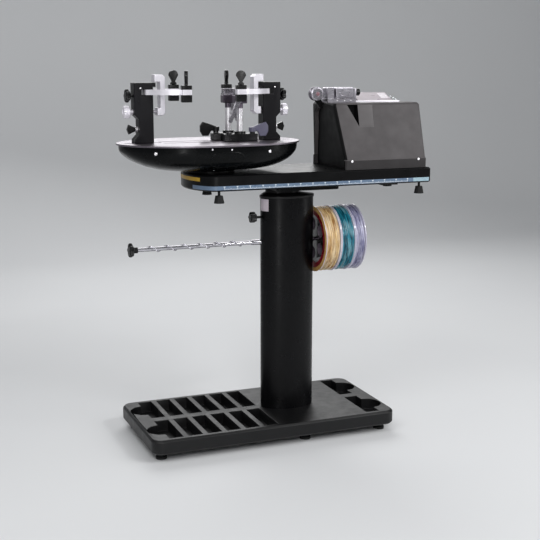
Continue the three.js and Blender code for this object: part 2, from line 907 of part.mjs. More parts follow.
// The hull is skinned over stations along its length: a flat deck and a round-chined side each way.
function turntableHull() {
  const halfLength = turntableLength / 2 - hullInset;
  const halfDepth = turntableDepth / 2 - hullInset;
  const drop = hullTop - hullBottom;
  const rings = [];
  for (let i = 0; i <= hullStations; i++) {
    const share = -Math.cos((Math.PI * (i + hullEndShare)) / (hullStations + 2 * hullEndShare));
    const wide = halfDepth * planShare(share);
    const deep = hullTip + (drop - hullTip) * (1 - Math.abs(share) ** keelPower) ** keelBlendShare;
    const ring = [];
    for (let j = 0; j <= 2 * hullSection; j++) {
      const angle = (Math.PI * j) / (2 * hullSection);
      const y = Math.sign(Math.cos(angle)) * Math.abs(Math.cos(angle)) ** sectionShare;
      ring.push([halfLength * share, -wide * y, hullTop - deep * Math.sin(angle) ** sectionShare]);
    }
    rings.push(ring);
  }
  const socketTop = beamTop + spindleRise + overrun;
  const socket = pin(spindleRadius + gap, hullBottom - overrun, socketTop, 'Z', [0, 0, 0]);
  return loft(rings).subtract(socket);
}

function turntableBearing() {
  const seat = beamTop + gap;
  const disc = hullBottom - gap;
  const top = seat + spindleRise;
  const profile = [
    [0, seat], [bearingRadius, seat], [bearingRadius, disc], [spindleRadius, disc],
    [spindleRadius, top], [0, top],
  ];
  return turned(profile, 'Z', [0, 0, 0], fineSides);
}

// Mounting side, drawn for the right hand; the left one is turned half round

function tower() {
  const seat = turntableTop + gap;
  const waistTop = seat + towerWaistTop;
  const outline = polygon([
    [towerInner, seat], [headOuter, seat], [headOuter, seat + towerFoot],
    [towerOuter, seat + towerFoot + towerFlare], [towerOuter, waistTop], [headOuter, waistTop + towerStep],
    [headOuter, towerTop + capHeight], [towerInner - capReach, towerTop + capHeight],
    [towerInner - capReach, towerTop], [towerInner, towerTop], [towerInner, slotTop],
    [towerInner + slotDepth, slotTop], [towerInner + slotDepth, slotBottom], [towerInner, slotBottom],
  ]);
  const half = towerDepth / 2;
  let body = prism(outline, 'XZ', -half, half, towerEdge);
  for (const y of [-armPinY, armPinY]) {
    body = body.add(pin(armPin, slotBottom - gap, slotTop + gap, 'Z', [armPinX, y, 0], 8));
  }
  const inset = (towerTrackWidth - 2 * gap) / 2;
  const tongueLow = [towerInner + tongueInset, -inset, seat - tongueDepth];
  body = body.add(block(tongueLow, [towerOuter, inset, seat + gap]));
  const bore = (radius, from, to, z) => {
    body = body.subtract(pin(radius + gap, from, to + overrun, 'X', [0, 0, z], 12));
  };
  bore(spindleThread, towerInner - overrun, headOuter, spindleZ);
  bore(knobShaft, headOuter - knobShaftDepth, headOuter, armKnobZ);
  bore(knobShaft, towerOuter - knobShaftDepth, towerOuter, lockZ);
  return body;
}

// The arm's centre line bows outwards between its pivot and its end; side is -1 for y below zero.
function armLine(side) {
  const start = new THREE.Vector2(armPinX, side * armPinY);
  const end = new THREE.Vector2(armEndX, side * armEndY);
  const middle = start.clone().add(end).multiplyScalar(0.5);
  const across = end.clone().sub(start);
  across.set(-across.y, across.x).normalize();
  if (Math.sign(across.y) !== side) across.negate();
  middle.addScaledVector(across, 2 * armBulge);
  return new THREE.QuadraticBezierCurve(start, middle, end);
}

function armBar(side) {
  const line = armLine(side);
  const left = [];
  const right = [];
  for (let i = 0; i <= armSteps; i++) {
    const point = line.getPoint(i / armSteps);
    const along = line.getTangent(i / armSteps);
    const across = new THREE.Vector2(-along.y, along.x).multiplyScalar(armWidth / 2);
    left.push([point.x + across.x, point.y + across.y]);
    right.unshift([point.x - across.x, point.y - across.y]);
  }
  return prism(polygon([...left, ...right]), 'XY', armBottom, armTop);
}

function arm(side) {
  const eye = pin(armEyeRadius, armBottom, armTop, 'Z', [armPinX, side * armPinY, 0], 12);
  const hole = pin(armPin + gap, armBottom - overrun, armTop + overrun, 'Z', [armPinX, side * armPinY, 0], 8);
  const [x, y] = [armEndX, side * armEndY];
  const [long, wide] = [holderLength / 2, holderWidth / 2];
  const shape = roundedRectangle(x - long, x + long, y - wide, y + wide, holderEdge * 2);
  const holder = prism(shape, 'XY', armBottom - holderBelow, holderTop, holderEdge, 2);
  const floor = holderTop - paddleStemDepth - gap;
  const stemHole = pin(paddleStem + 2 * gap, floor, holderTop + overrun, 'Z', [x, y, 0], 8);
  return armBar(side).add(eye).add(holder).subtract(hole).subtract(stemHole);
}

function holdDownKnob() {
  const seat = holderTop + gap;
  const shape = new THREE.Shape();
  const round = paddleWidth / 2;
  shape.moveTo(-paddleNeck, seat);
  shape.lineTo(paddleNeck, seat);
  shape.lineTo(paddleNeck, seat + paddleNeck / 2);
  shape.lineTo(paddleNeck / 2, seat + paddleNeck);
  shape.absarc(0, seat + paddleHeight - round, round, 0, Math.PI, false);
  shape.lineTo(-paddleNeck / 2, seat + paddleNeck);
  shape.lineTo(-paddleNeck, seat + paddleNeck / 2);
  const half = paddleThickness / 2;
  const stem = pin(paddleStem, seat - paddleStemDepth + gap, seat + paddleNeck / 2, 'Z', [0, 0, 0], 8);
  return prism(shape, 'XZ', -half, half, half / 4, 4).add(stem);
}

function centreSupport() {
  const web = supportInner + supportWeb;
  const topLow = supportTop - supportTopDrop;
  const footTop = supportFootZ + supportFootHeight;
  const outline = polygon([
    [supportInner, supportFootZ + supportWeb / 2], [supportInner + supportWeb / 2, supportFootZ],
    [supportInner + supportFootReach, supportFootZ], [supportInner + supportFootReach, footTop],
    [web, footTop], [web, topLow], [supportInner + supportTopReach, topLow],
    [supportInner + supportTopReach, supportTop], [supportInner + supportWeb / 2, supportTop],
    [supportInner, supportTop - supportWeb / 2],
  ]);
  const half = supportDepth / 2;
  const body = prism(outline, 'XZ', -half, half, supportEdge);
  const from = supportInner - overrun;
  const to = supportInner + supportFootReach + overrun;
  return body.subtract(pin(spindleThread + gap, from, to, 'X', [0, 0, spindleZ], 12));
}

function spindleKnob() {
  const start = supportInner + supportWeb / 2;
  const neckStart = headOuter + gap;
  const knobStart = neckStart + spindleNeckLength;
  const knobEnd = knobStart + spindleKnobLength;
  const dish = spindleKnobRadius / 6;
  const rim = spindleKnobRadius - dish;
  const profile = [
    [0, start], [spindleThread, start], [spindleThread, neckStart], [spindleNeck, neckStart],
    [spindleNeck, knobStart], [rim, knobStart], [spindleKnobRadius, knobStart + dish],
    [spindleKnobRadius, knobEnd - dish], [rim, knobEnd], [0, knobEnd],
  ];
  return turned(profile, 'X', [0, 0, spindleZ], plainSides);
}

function armKnob() {
  const seat = headOuter + armKnobStandoff;
  const head = starHead(armKnobRadius, seat, seat + armKnobThickness, 0, armKnobZ);
  return head.add(pin(knobShaft, headOuter - knobShaftDepth + gap, seat + gap, 'X', [0, 0, armKnobZ], 10));
}

function lockKnob() {
  const seat = towerOuter + gap;
  const wingStart = seat + lockWasherThickness;
  const wingEnd = wingStart + lockWingLength;
  const wing = polygon([
    [wingStart - gap, lockZ - lockWingNeck / 2], [wingEnd, lockZ - lockWingHeight / 2],
    [wingEnd + lockWingNeck / 2, lockZ], [wingEnd, lockZ + lockWingHeight / 2],
    [wingStart - gap, lockZ + lockWingNeck / 2],
  ]);
  const half = lockWingThickness / 2;
  const washer = pin(lockWasher, seat, wingStart, 'X', [0, 0, lockZ], 14);
  const shaft = pin(knobShaft, towerOuter - knobShaftDepth + gap, seat + gap, 'X', [0, 0, lockZ], 10);
  return prism(wing, 'XZ', -half, half, half / 3).add(washer).add(shaft);
}

// String clamps, drawn at the turntable's middle line; side is -1 for the front one

function clampBase(side) {
  const half = clampBaseLength / 2;
  const wide = clampBaseDepth / 2;
  const outline = polygon([
    [-half, -clampBaseEnd], [-half / 2, -wide], [half / 2, -wide], [half, -clampBaseEnd],
    [half, clampBaseEnd], [half / 2, wide], [-half / 2, wide], [-half, clampBaseEnd],
  ]);
  let base = prism(outline, 'XY', clampSeat, clampBaseTop, clampBaseEnd / 8);
  const collarTop = clampBaseTop + clampCollarHeight;
  base = base.add(pin(clampCollarRadius, clampBaseTop - gap, collarTop, 'Z', [0, 0, 0], 18));
  for (const facing of [-1, 1]) {
    const place = [facing * bossX, side * bossY, 0];
    base = base.add(pin(clampBossRadius, clampBaseTop - gap, clampBaseTop + clampBossHeight, 'Z', place, 12));
  }
  const tongue = (trackWidth - 2 * gap) / 2;
  base = base.add(block([-half / 2, -tongue, clampSeat - tongueDepth], [half / 2, tongue, clampSeat + gap]));
  const bore = pin(postRadius + 2 * gap, collarTop - postDepth, headTop, 'Z', [0, 0, 0], 14);
  return base.subtract(bore);
}

// The cam lever stands on the boss at the base's end; facing is the way along X that it points.
function clampLever(facing) {
  const seat = clampBaseTop + clampBossHeight + gap;
  const low = seat - leverDrop;
  const fin = polygon([
    [0, seat + leverHubHeight * leverRootShare], [leverFinStart, seat], [leverFinStart + leverTaper, low],
    [leverLength - leverTaper, low], [leverLength, seat], [leverLength, seat + leverRise * leverTipShare],
    [leverLength - leverTaper, seat + leverRise],
    [leverFinStart + leverTaper, seat + leverRise * leverCrestShare], [0, seat + leverHubHeight],
  ].map(([x, z]) => [facing * x, z]));
  const half = leverThickness / 2;
  const hub = pin(leverHub, seat, seat + leverHubHeight, 'Z', [0, 0, 0], 14);
  return prism(fin, 'XZ', -half, half, half / 3).add(hub);
}

function jawPlate(from, to) {
  const half = headWidth / 2 - jawInset;
  const low = postTop + headHeight - gap;
  let plate = block([-half, from, low], [half, to, headTop]);
  const pitch = (2 * half) / toothCount;
  for (let i = 1; i < toothCount; i++) {
    const x = -half + i * pitch;
    plate = plate.subtract(block([x - toothSlot / 2, from - overrun, headTop - toothSlotDepth],
      [x + toothSlot / 2, to + overrun, headTop + overrun]));
  }
  return plate;
}

function clampHead() {
  const half = headWidth / 2;
  const wide = headDepth / 2;
  const bottom = clampBaseTop + clampCollarHeight - postDepth + gap;
  const post = pin(postRadius, bottom, postTop + gap, 'Z', [0, 0, 0], 14);
  const outline = roundedRectangle(-half, half, postTop, postTop + headHeight, jawInset);
  const body = prism(outline, 'XZ', -wide, wide, jawInset / 2, 2);
  const hinge = pin(handlePin, -wide - handlePinLength, -wide + gap, 'Y', [0, 0, handleZ], 12);
  const [inner, outer] = [jawGap / 2, jawGap / 2 + jawThickness];
  const jaws = jawPlate(-outer, -inner).add(jawPlate(inner, outer));
  return post.add(body).add(hinge).add(jaws);
}

// The cam handle: a ring round the head's pin, and a bowed lever that hangs from it.
function clampHandle() {
  const front = -headDepth / 2 - gap;
  const shape = new THREE.Shape();
  shape.absarc(0, 0, handleHub, -Math.PI / 2, 0.75 * Math.PI, false);
  shape.quadraticCurveTo(-handleBow - handleWaist, -handleBow, -handleReach - handleEnd, -handleDrop);
  shape.absarc(-handleReach, -handleDrop, handleEnd, Math.PI, 2 * Math.PI, false);
  shape.quadraticCurveTo(-handleBow + handleWaist / 2, -handleBow - handleWaist, 0, -handleHub);
  const blade = prism(shape, 'XZ', front - handleThickness, front, handleThickness / 6, 6);
  const hole = pin(handlePin + gap, front - handleThickness - overrun, front + overrun, 'Y', [0, 0, 0], 12);
  return blade.subtract(hole).translate(0, 0, handleZ);
}

// Tension head housing

// How far a height lies up the sloping walls, from 0 at the skirt's top to 1 at the deck.
function slopeShare(z) {
  return (z - housingShoulder) / (housingTop - housingShoulder);
}

function housingEnds(z) {
  const share = slopeShare(z);
  const mix = THREE.MathUtils.lerp;
  return {
    left: mix(housingBottomLeft, housingTopLeft, share),
    right: mix(housingBottomRight, housingTopRight, share),
    half: mix(housingBottomHalf, housingTopHalf, share),
  };
}

function roundedRing({ left, right, half }, radius, inset, z) {
  const ring = [];
  const corners = [[right, -half, -0.5], [right, half, 0], [left, half, 0.5], [left, -half, 1]];
  const steps = 3;
  for (const [x, y, quarter] of corners) {
    const cx = x - Math.sign(x - (left + right) / 2) * (radius + inset);
    const cy = y - Math.sign(y) * (radius + inset);
    for (let i = 0; i <= steps; i++) {
      const angle = (quarter + i / (2 * steps)) * Math.PI;
      ring.push([cx + radius * Math.cos(angle), cy + radius * Math.sin(angle), z]);
    }
  }
  return ring;
}

function leaningSlab(z, from, to, y0, y1) {
  return [[from, y0, z], [to, y0, z], [to, y1, z], [from, y1, z]];
}

// The arched recess in the left end follows that end's lean and runs down to the beam.
function recessCutter() {
  const straight = recessTop - recessHeadHalf * recessArchShare;
  const slab = (z, half) => {
    const face = housingEnds(Math.max(z, housingShoulder)).left;
    return leaningSlab(z, face - overrun, face + recessDepth, -half, half);
  };
  const rings = [slab(beamTop - overrun, recessFootHalf), slab(housingShoulder, recessFootHalf)];
  for (let i = 0; i <= recessSteps; i++) {
    const angle = (Math.PI / 2) * recessEndShare * (i / recessSteps);
    const z = straight + (recessTop - straight) * Math.sin(angle);
    rings.push(slab(z, recessHeadHalf * Math.cos(angle) ** recessRoundShare));
  }
  return loft(rings);
}

function notchCutter() {
  const top = housingTop - notchTopWall;
  const shape = polygon([[notchLeft, top], [notchMiddle + gap, notchFloor], [notchMiddle + gap, top]]);
  const front = -housingBottomHalf - overrun;
  const wedge = prism(shape, 'XZ', front, -housingTopHalf + notchDepth);
  const rings = [notchFloor, top].map((z) => {
    const face = -housingEnds(z).half;
    return leaningSlab(z, notchMiddle, notchRight, -housingBottomHalf - overrun, face + notchPanelDepth);
  });
  return wedge.add(loft(rings));
}

function rollerBracket() {
  const back = rollerWidth / 2 + gap;
  const shape = new THREE.Shape();
  shape.absarc(rollerX, rollerZ, bracketHead, Math.PI / 4, Math.PI * 1.25, false);
  shape.lineTo(housingTopLeft, housingTop - 2 * bracketHead);
  shape.lineTo(carriageLeft - gap, housingTop - 2 * bracketHead);
  shape.lineTo(carriageLeft - gap, housingTop);
  const plate = prism(shape, 'XZ', back, back + bracketThickness, 0, 4);
  const axle = pin(rollerBore, -rollerWidth / 2 - axleProud, back + gap, 'Y', [rollerX, 0, rollerZ], 12);
  return plate.add(axle);
}

function tensionHousing() {
  const seat = beamTop + gap;
  const bottom = housingEnds(housingShoulder);
  const rings = [
    roundedRing(bottom, housingRound, 0, seat),
    roundedRing(bottom, housingRound, 0, housingShoulder - skirtLedge),
    roundedRing(bottom, housingRound, skirtLedge, housingShoulder),
    roundedRing(housingEnds(housingTop - housingCrown), housingRound, skirtLedge, housingTop - housingCrown),
    roundedRing(housingEnds(housingTop), housingRound, housingCrown, housingTop),
  ];
  const railCorner = [railRight, railWidth / 2, housingTop + railHeight];
  const rail = block([railLeft, -railWidth / 2, housingTop - gap], railCorner);
  return loft(rings).subtract(recessCutter()).subtract(notchCutter()).add(rail).add(rollerBracket());
}

function tensionRoller() {
  const half = rollerWidth / 2;
  const bore = rollerBore + gap;
  const profile = [
    [bore, -half], [rollerRadius, -half], [rollerRadius, -half + rollerFlange],
    [rollerGroove, -rollerFlange / 2], [rollerGroove, rollerFlange / 2], [rollerRadius, half - rollerFlange],
    [rollerRadius, half], [bore, half], [bore, -half],
  ];
  return turned(profile, 'Y', [rollerX, 0, rollerZ], plainSides);
}

function gripperCarriage() {
  const half = carriageDepth / 2;
  const low = housingTop + gap;
  const deck = low + carriageBase;
  const right = carriageLeft + carriageLength;
  const jawLeft = carriageLeft + guideLength + guideGap;
  let body = block([carriageLeft, -half, low], [right, half, deck]);
  const groove = railWidth / 2 + gap;
  const railTop = housingTop + railHeight + gap;
  const channelLow = [carriageLeft - overrun, -groove, low - overrun];
  body = body.subtract(block(channelLow, [right + overrun, groove, railTop]));
  const guideRight = carriageLeft + guideLength;
  const guide = roundedRectangle(carriageLeft, guideRight, deck - gap, carriageTop, guideRound);
  body = body.add(prism(guide, 'XZ', -half + jawPlateInset, half - jawPlateInset, 0, 3));
  body = body.subtract(block([carriageLeft - overrun, -stringSlot / 2, deck + guideFloor],
    [guideRight + overrun, stringSlot / 2, carriageTop + overrun]));
  body = body.add(block([jawLeft, stringSlot / 2, deck - gap], [right, half, carriageTop]));
  const stop = right - endPlate;
  body = body.add(block([stop, -half, deck - gap], [right, half, carriageTop - jawPlateInset]));
  const boreStart = stop + endPlate / 4;
  return body.subtract(pin(pressureBore + gap, boreStart, right + overrun, 'X', [0, 0, pressureZ], 10));
}

function gripperJaw() {
  const deck = housingTop + gap + carriageBase + gap;
  const left = carriageLeft + guideLength + guideGap + gap;
  const right = carriageLeft + carriageLength - endPlate - gap;
  const front = -carriageDepth / 2 - jawProud;
  const outline = roundedRectangle(left, right, deck, carriageTop, jawCorner);
  return prism(outline, 'XZ', front, -stringSlot / 2, jawCorner / 2, 3);
}

function pressureKnob() {
  const seat = carriageLeft + carriageLength + gap;
  const grip = seat + pressureNeckLength;
  const end = grip + pressureLength;
  const round = pressureRadius / 6;
  const profile = [
    [0, seat - pressureDepth], [pressureBore, seat - pressureDepth], [pressureBore, seat],
    [pressureNeck, seat], [pressureNeck, grip], [pressureRadius - round, grip], [pressureRadius, grip + round],
    [pressureRadius, end - round], [pressureRadius - round, end], [0, end],
  ];
  return turned(profile, 'X', [0, 0, pressureZ], plainSides);
}

// The panel is a wedge that rises to the back, and a clear guard slopes down from its right end.
function panelSection(x, share) {
  const seat = housingTop + gap;
  return [
    [x, panelFrontY, seat], [x, panelBackY, seat],
    [x, panelBackY, seat + panelLow + (panelHigh - panelLow) * share], [x, panelFrontY, seat + panelLow],
  ];
}

function controlPanel() {
  return loft([panelSection(panelLeft, 1), panelSection(panelRight, 1)]);
}

function panelGuard() {
  return loft([panelSection(panelRight + gap, 1), panelSection(panelGuardEnd, 0)]);
}

// The whole machine

function buildStand(parent) {
  add(parent, 'base_plate', basePlate(), mouldedBlack);
  const reach = baseLength / 2 - footInset;
  const places = { left: -reach, middle: footMiddleX, right: reach };
  for (const [end, x] of Object.entries(places)) {
    const y = baseDepth / 2 - footBackInset;
    add(parent, `base_foot_front_${end}`, baseFoot(x, -y), rubberBlack);
    add(parent, `base_foot_back_${end}`, baseFoot(x, y), rubberBlack);
  }
  add(parent, 'column', column(), satinBlack);
  add(parent, 'column_collar', columnCollar(), mouldedBlack);
  add(parent, 'height_knob', heightKnob(), knobBlack);
  add(parent, 'rack_rod', rackRod(), chrome);
  add(parent, 'reel_rod', reelRod(), chrome);
  add(parent, 'rack_rod_knob', rodKnob(rodLeftEnd + rodKnobBore - overrun, -1), knobBlack);
  add(parent, 'reel_rod_knob', rodKnob(columnRight + reelSide + reelsWidth() + reelBetween, 1), knobBlack);
}

function buildReels(parent) {
  let left = columnRight + reelSide;
  reelWidths.forEach((width, i) => {
    add(parent, `reel_hub_${i + 1}`, reelHub(left, width), reelClear);
    add(parent, `string_winding_${i + 1}`, stringWinding(left, width), stringColours[i]);
    left += width + reelBetween;
  });
}

function buildSide(parent, hand) {
  const side = new THREE.Group();
  const outwards = hand === 'left' ? -1 : 1;
  side.rotation.z = outwards < 0 ? Math.PI : 0;
  side.position.x = outwards * mountShift[hand];
  parent.add(side);
  add(side, `tower_${hand}`, tower(), satinBlack);
  const support = add(side, `centre_support_${hand}`, centreSupport(), silver);
  support.position.x = supportShift[hand];
  add(side, `spindle_knob_${hand}`, spindleKnob(), silver);
  add(side, `arm_knob_${hand}`, armKnob(), knobBlack);
  add(side, `lock_knob_${hand}`, lockKnob(), knobBlack);
  for (const local of [-1, 1]) {
    const place = local * outwards < 0 ? 'front' : 'back';
    add(side, `arm_${place}_${hand}`, arm(local), silver);
    const knob = add(side, `hold_down_knob_${place}_${hand}`, holdDownKnob(), knobBlack);
    knob.position.set(armEndX, local * armEndY, 0);
    knob.rotation.z = THREE.MathUtils.degToRad(paddleTurns[`${place}_${hand}`]);
  }
}

function buildClamp(parent, place, side, x, facing) {
  const clamp = new THREE.Group();
  clamp.position.set(x, side * trackY, 0);
  parent.add(clamp);
  add(clamp, `clamp_base_${place}`, clampBase(side), knobBlack);
  const head = new THREE.Group();
  head.rotation.z = side < 0 ? 0 : Math.PI;
  clamp.add(head);
  add(head, `clamp_head_${place}`, clampHead(), gunmetal);
  add(head, `clamp_handle_${place}`, clampHandle(), silver);
  const lever = add(clamp, `clamp_lever_${place}`, clampLever(facing), side < 0 ? leverGrey : knobBlack);
  lever.position.set(facing * bossX, side * bossY, 0);
}

function buildTurntable(parent) {
  const turntable = new THREE.Group();
  turntable.position.set(turntableX, 0, 0);
  parent.add(turntable);
  add(turntable, 'turntable_bearing', turntableBearing(), satinBlack);
  add(turntable, 'turntable_plate', turntablePlate(), silverPlate);
  add(turntable, 'turntable_hull', turntableHull(), hullBlack);
  buildSide(turntable, 'left');
  buildSide(turntable, 'right');
  buildClamp(turntable, 'front', -1, clampFrontX, 1);
  buildClamp(turntable, 'back', 1, clampBackX, -1);
}

function buildHead(parent) {
  add(parent, 'lift_tube', liftTube(), satinBlack);
  add(parent, 'beam', beam(), satinBlack);
  const rocker = add(parent, 'power_switch', powerSwitch(), knobBlack);
  rocker.position.set(switchX, (beamDepth - switchDepth) / 2, beamMiddleZ);
  rocker.rotation.x = THREE.MathUtils.degToRad(switchTilt);
  add(parent, 'brake_knob', brakeKnob(), knobBlack);
  add(parent, 'tension_housing', tensionHousing(), texturedGrey);
  add(parent, 'tension_roller', tensionRoller(), silver);
  add(parent, 'gripper_carriage', gripperCarriage(), silver);
  add(parent, 'gripper_jaw', gripperJaw(), gunmetal);
  add(parent, 'pressure_knob', pressureKnob(), knobBlack);
  add(parent, 'control_panel', controlPanel(), panelSilver);
  add(parent, 'panel_guard', panelGuard(), guardClear);
}

buildStand(machine);
buildReels(machine);
buildHead(machine);
buildTurntable(machine);

// The origin is on the floor, under the middle of the machine's length.
machine.position.x = -(turntableX - turntableLength / 2 + beamRight) / 2;

export default machine;
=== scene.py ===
import math

import bmesh
import bpy
import numpy as np
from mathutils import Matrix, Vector


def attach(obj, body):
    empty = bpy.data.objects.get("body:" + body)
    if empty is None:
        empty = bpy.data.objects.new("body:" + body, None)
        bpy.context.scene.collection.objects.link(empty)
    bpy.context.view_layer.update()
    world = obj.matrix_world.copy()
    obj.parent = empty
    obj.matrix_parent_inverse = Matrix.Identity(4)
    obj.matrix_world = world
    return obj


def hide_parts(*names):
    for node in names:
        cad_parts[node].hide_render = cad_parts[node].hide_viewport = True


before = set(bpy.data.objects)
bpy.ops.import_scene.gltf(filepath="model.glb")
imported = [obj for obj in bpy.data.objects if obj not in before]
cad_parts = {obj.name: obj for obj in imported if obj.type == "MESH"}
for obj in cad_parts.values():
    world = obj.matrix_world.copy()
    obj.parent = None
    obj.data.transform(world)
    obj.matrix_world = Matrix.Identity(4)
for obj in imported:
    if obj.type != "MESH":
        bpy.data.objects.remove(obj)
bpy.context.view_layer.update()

mm = 0.001
machineShift = 0.0495  # the frame's origin lies this far from the base plate's middle
onAxis = 0.1  # a turned profile ends this many millimetres from its axis
hands = {"left": -1, "right": 1}


def toFrame(points):
    # machine millimetres, counted from the base plate's middle, become frame metres
    placed = np.asarray(points, dtype=float) * mm
    placed[..., 0] -= machineShift
    return placed


# Camera: fitted to the base plate's four corners and to the upright column

cameraSettings = {
    "place": (-1.2235, -3.045, 1.153), "forward": (0.3644, 0.9111, -0.1925),
    "focalPixels": 1072.0, "sensor": 36.0, "photoWidth": 540.0,
}


def setCamera():
    s = cameraSettings
    data = bpy.data.cameras.new("camera")
    camera = bpy.data.objects.new("camera", data)
    bpy.context.scene.collection.objects.link(camera)
    camera.location = s["place"]
    camera.rotation_euler = Vector(s["forward"]).to_track_quat("-Z", "Y").to_euler()
    data.sensor_width = s["sensor"]
    data.lens = s["sensor"] * s["focalPixels"] / s["photoWidth"]
    bpy.context.scene.camera = camera


setCamera()
print("camera set")


# Colours and node helpers

def linearColour(hexCode):
    # each sRGB channel is turned to linear, and the colour is opaque
    channels = [int(hexCode[i:i + 2], 16) / 255 for i in (1, 3, 5)]
    linear = [c / 12.92 if c <= 0.04045 else ((c + 0.055) / 1.055) ** 2.4 for c in channels]
    return (*linear, 1.0)


def addNode(tree, kind, inputs=None, **settings):
    node = tree.nodes.new(kind)
    for name, value in settings.items():
        setattr(node, name, value)
    for name, value in (inputs or {}).items():
        if isinstance(value, bpy.types.NodeSocket):
            tree.links.new(value, node.inputs[name])
        else:
            node.inputs[name].default_value = value
    return node


def newMaterial(name, roughness, metallic=0.0, ior=None, coat=0.0, specular=0.5):
    material = bpy.data.materials.new(name)
    material.use_nodes = True
    tree = material.node_tree
    shader = tree.nodes["Principled BSDF"]
    shader.inputs["Roughness"].default_value = roughness
    shader.inputs["Metallic"].default_value = metallic
    shader.inputs["Specular IOR Level"].default_value = specular
    if ior:
        shader.inputs["IOR"].default_value = ior
    if coat:
        shader.inputs["Coat Weight"].default_value = coat
        shader.inputs["Coat Roughness"].default_value = finishSettings["coatRoughness"]
    return material, tree


def objectPoints(tree, stretch=(1, 1, 1)):
    # object coordinates in metres, stretched so that a pattern can run along one axis
    place = addNode(tree, "ShaderNodeTexCoord").outputs["Object"]
    return addNode(tree, "ShaderNodeMapping", {"Vector": place, "Scale": stretch}).outputs["Vector"]


def noiseOf(tree, points, sizeInMm, detail, roughness=0.5):
    # a noise cell is about as wide as the size given
    inputs = {"Vector": points, "Scale": 1 / (sizeInMm * mm), "Detail": detail, "Roughness": roughness}
    return addNode(tree, "ShaderNodeTexNoise", inputs).outputs["Fac"]


def ramped(tree, factor, low, high, fromLow=0.3, fromHigh=0.7):
    inputs = {"Value": factor, "From Min": fromLow, "From Max": fromHigh, "To Min": low, "To Max": high}
    return addNode(tree, "ShaderNodeMapRange", inputs).outputs["Result"]


def mixed(tree, factor, first, second):
    # either colour is a hex code or another node's output
    pair = [linearColour(one) if isinstance(one, str) else one for one in (first, second)]
    inputs = {"Factor": factor, "A": pair[0], "B": pair[1]}
    return addNode(tree, "ShaderNodeMix", inputs, data_type="RGBA").outputs["Result"]


def bumpOf(tree, height, strength, depthInMm, normal=None):
    inputs = {"Height": height, "Strength": strength, "Distance": depthInMm * mm}
    if normal:
        inputs["Normal"] = normal
    return addNode(tree, "ShaderNodeBump", inputs).outputs["Normal"]


# Materials: sizes of patterns are in millimetres, and a noise is its size, detail and roughness

finishSettings = {
    "coatRoughness": 0.12, "wear": (1.2, 4, 0.86, 0.99),
    "moulded": {"ior": 1.53, "tone": (45, 4), "worn": 0.35, "haze": (28, 3), "spread": 0.06},
    "powder": {"ior": 1.5, "tone": (120, 3), "worn": 0.4, "haze": (40, 3), "spread": 0.05},
    "grain": (3, 0.6, 0.5), "peel": (((3.0, 1), 0.25, 0.05), ((0.6, 2), 0.15, 0.02)),
    "metal": ((3, 0.6), (30, 3), 0.06, 0.08, 0.35),
    "string": (0.22, 1.57, 0.5), "strands": (
        ((1, 0.06, 0.06), (2.4, 2, 0.7), (0, 1, 0.38, 0.62)),
        ((1, 0.3, 0.3), (16, 3), (0, 0.5, 0.46, 0.7)),
    ),
    "clear": (0.08, 1.58, 0.85, 0.55, (20, 2)),
}


def wired(material, colour, roughness=None, normal=None):
    tree = material.node_tree
    for name, output in (("Base Color", colour), ("Roughness", roughness), ("Normal", normal)):
        if output:
            tree.links.new(output, tree.nodes["Principled BSDF"].inputs[name])
    return material


def edgeWear(tree, colour, wornHex, amount):
    # a rounded edge shows up where the bevelled normal turns away from the true one
    radius, samples, low, high = finishSettings["wear"]
    bevel = addNode(tree, "ShaderNodeBevel", {"Radius": radius * mm}, samples=samples)
    geometry = addNode(tree, "ShaderNodeNewGeometry")
    inputs = {0: bevel.outputs["Normal"], 1: geometry.outputs["Normal"]}
    dot = addNode(tree, "ShaderNodeVectorMath", inputs, operation="DOT_PRODUCT").outputs["Value"]
    return mixed(tree, ramped(tree, dot, amount, 0.0, low, high), colour, wornHex)


def coated(name, kind, tones, roughness, relief, worn, specular, coat=0.0):
    # what mouldings and powder coat share: a drifting tone, worn edges, a haze and a fine relief
    s = finishSettings[kind]
    material, tree = newMaterial(name, roughness, ior=s["ior"], coat=coat, specular=specular)
    points = objectPoints(tree)
    colour = mixed(tree, ramped(tree, noiseOf(tree, points, *s["tone"]), 0, 1), *tones)
    if worn:
        colour = edgeWear(tree, colour, worn, s["worn"])
    haze = noiseOf(tree, points, *s["haze"])
    haze = ramped(tree, haze, roughness - s["spread"], roughness + s["spread"])
    normal = None
    for noise, strength, depthInMm in relief:
        normal = bumpOf(tree, noiseOf(tree, points, *noise), strength, depthInMm, normal)
    return wired(material, colour, haze, normal)


def moulded(name, tones, roughness, grainInMm, depthInMm, specular=0.5, worn=None, coat=0.0):
    # moulded plastic, rubber or foil: a fine grain scatters the light, and rubbed edges shine a little
    detail, share, strength = finishSettings["grain"]
    relief = [((grainInMm, detail, share), strength, depthInMm)]
    return coated(name, "moulded", tones, roughness, relief, worn, specular, coat)


def powderCoated(name, tones, roughness, specular, worn=None):
    # powder coat: the melt leaves a faint orange peel, which the anodised towers are given too
    return coated(name, "powder", tones, roughness, finishSettings["peel"], worn, specular)


def machinedMetal(name, tones, roughness, stretch, lineInMm, depthInMm=0.012, metallic=1.0):
    # turned or milled metal: fine tool lines run one way and spread the highlight across them
    lineNoise, toneNoise, smoother, rougher, bump = finishSettings["metal"]
    material, tree = newMaterial(name, roughness, metallic=metallic)
    lines = noiseOf(tree, objectPoints(tree, stretch), lineInMm, *lineNoise)
    tone = ramped(tree, noiseOf(tree, objectPoints(tree), *toneNoise), 0, 1)
    spread = ramped(tree, lines, roughness - smoother, roughness + rougher)
    return wired(material, mixed(tree, tone, *tones), spread, bumpOf(tree, lines, bump, depthInMm))


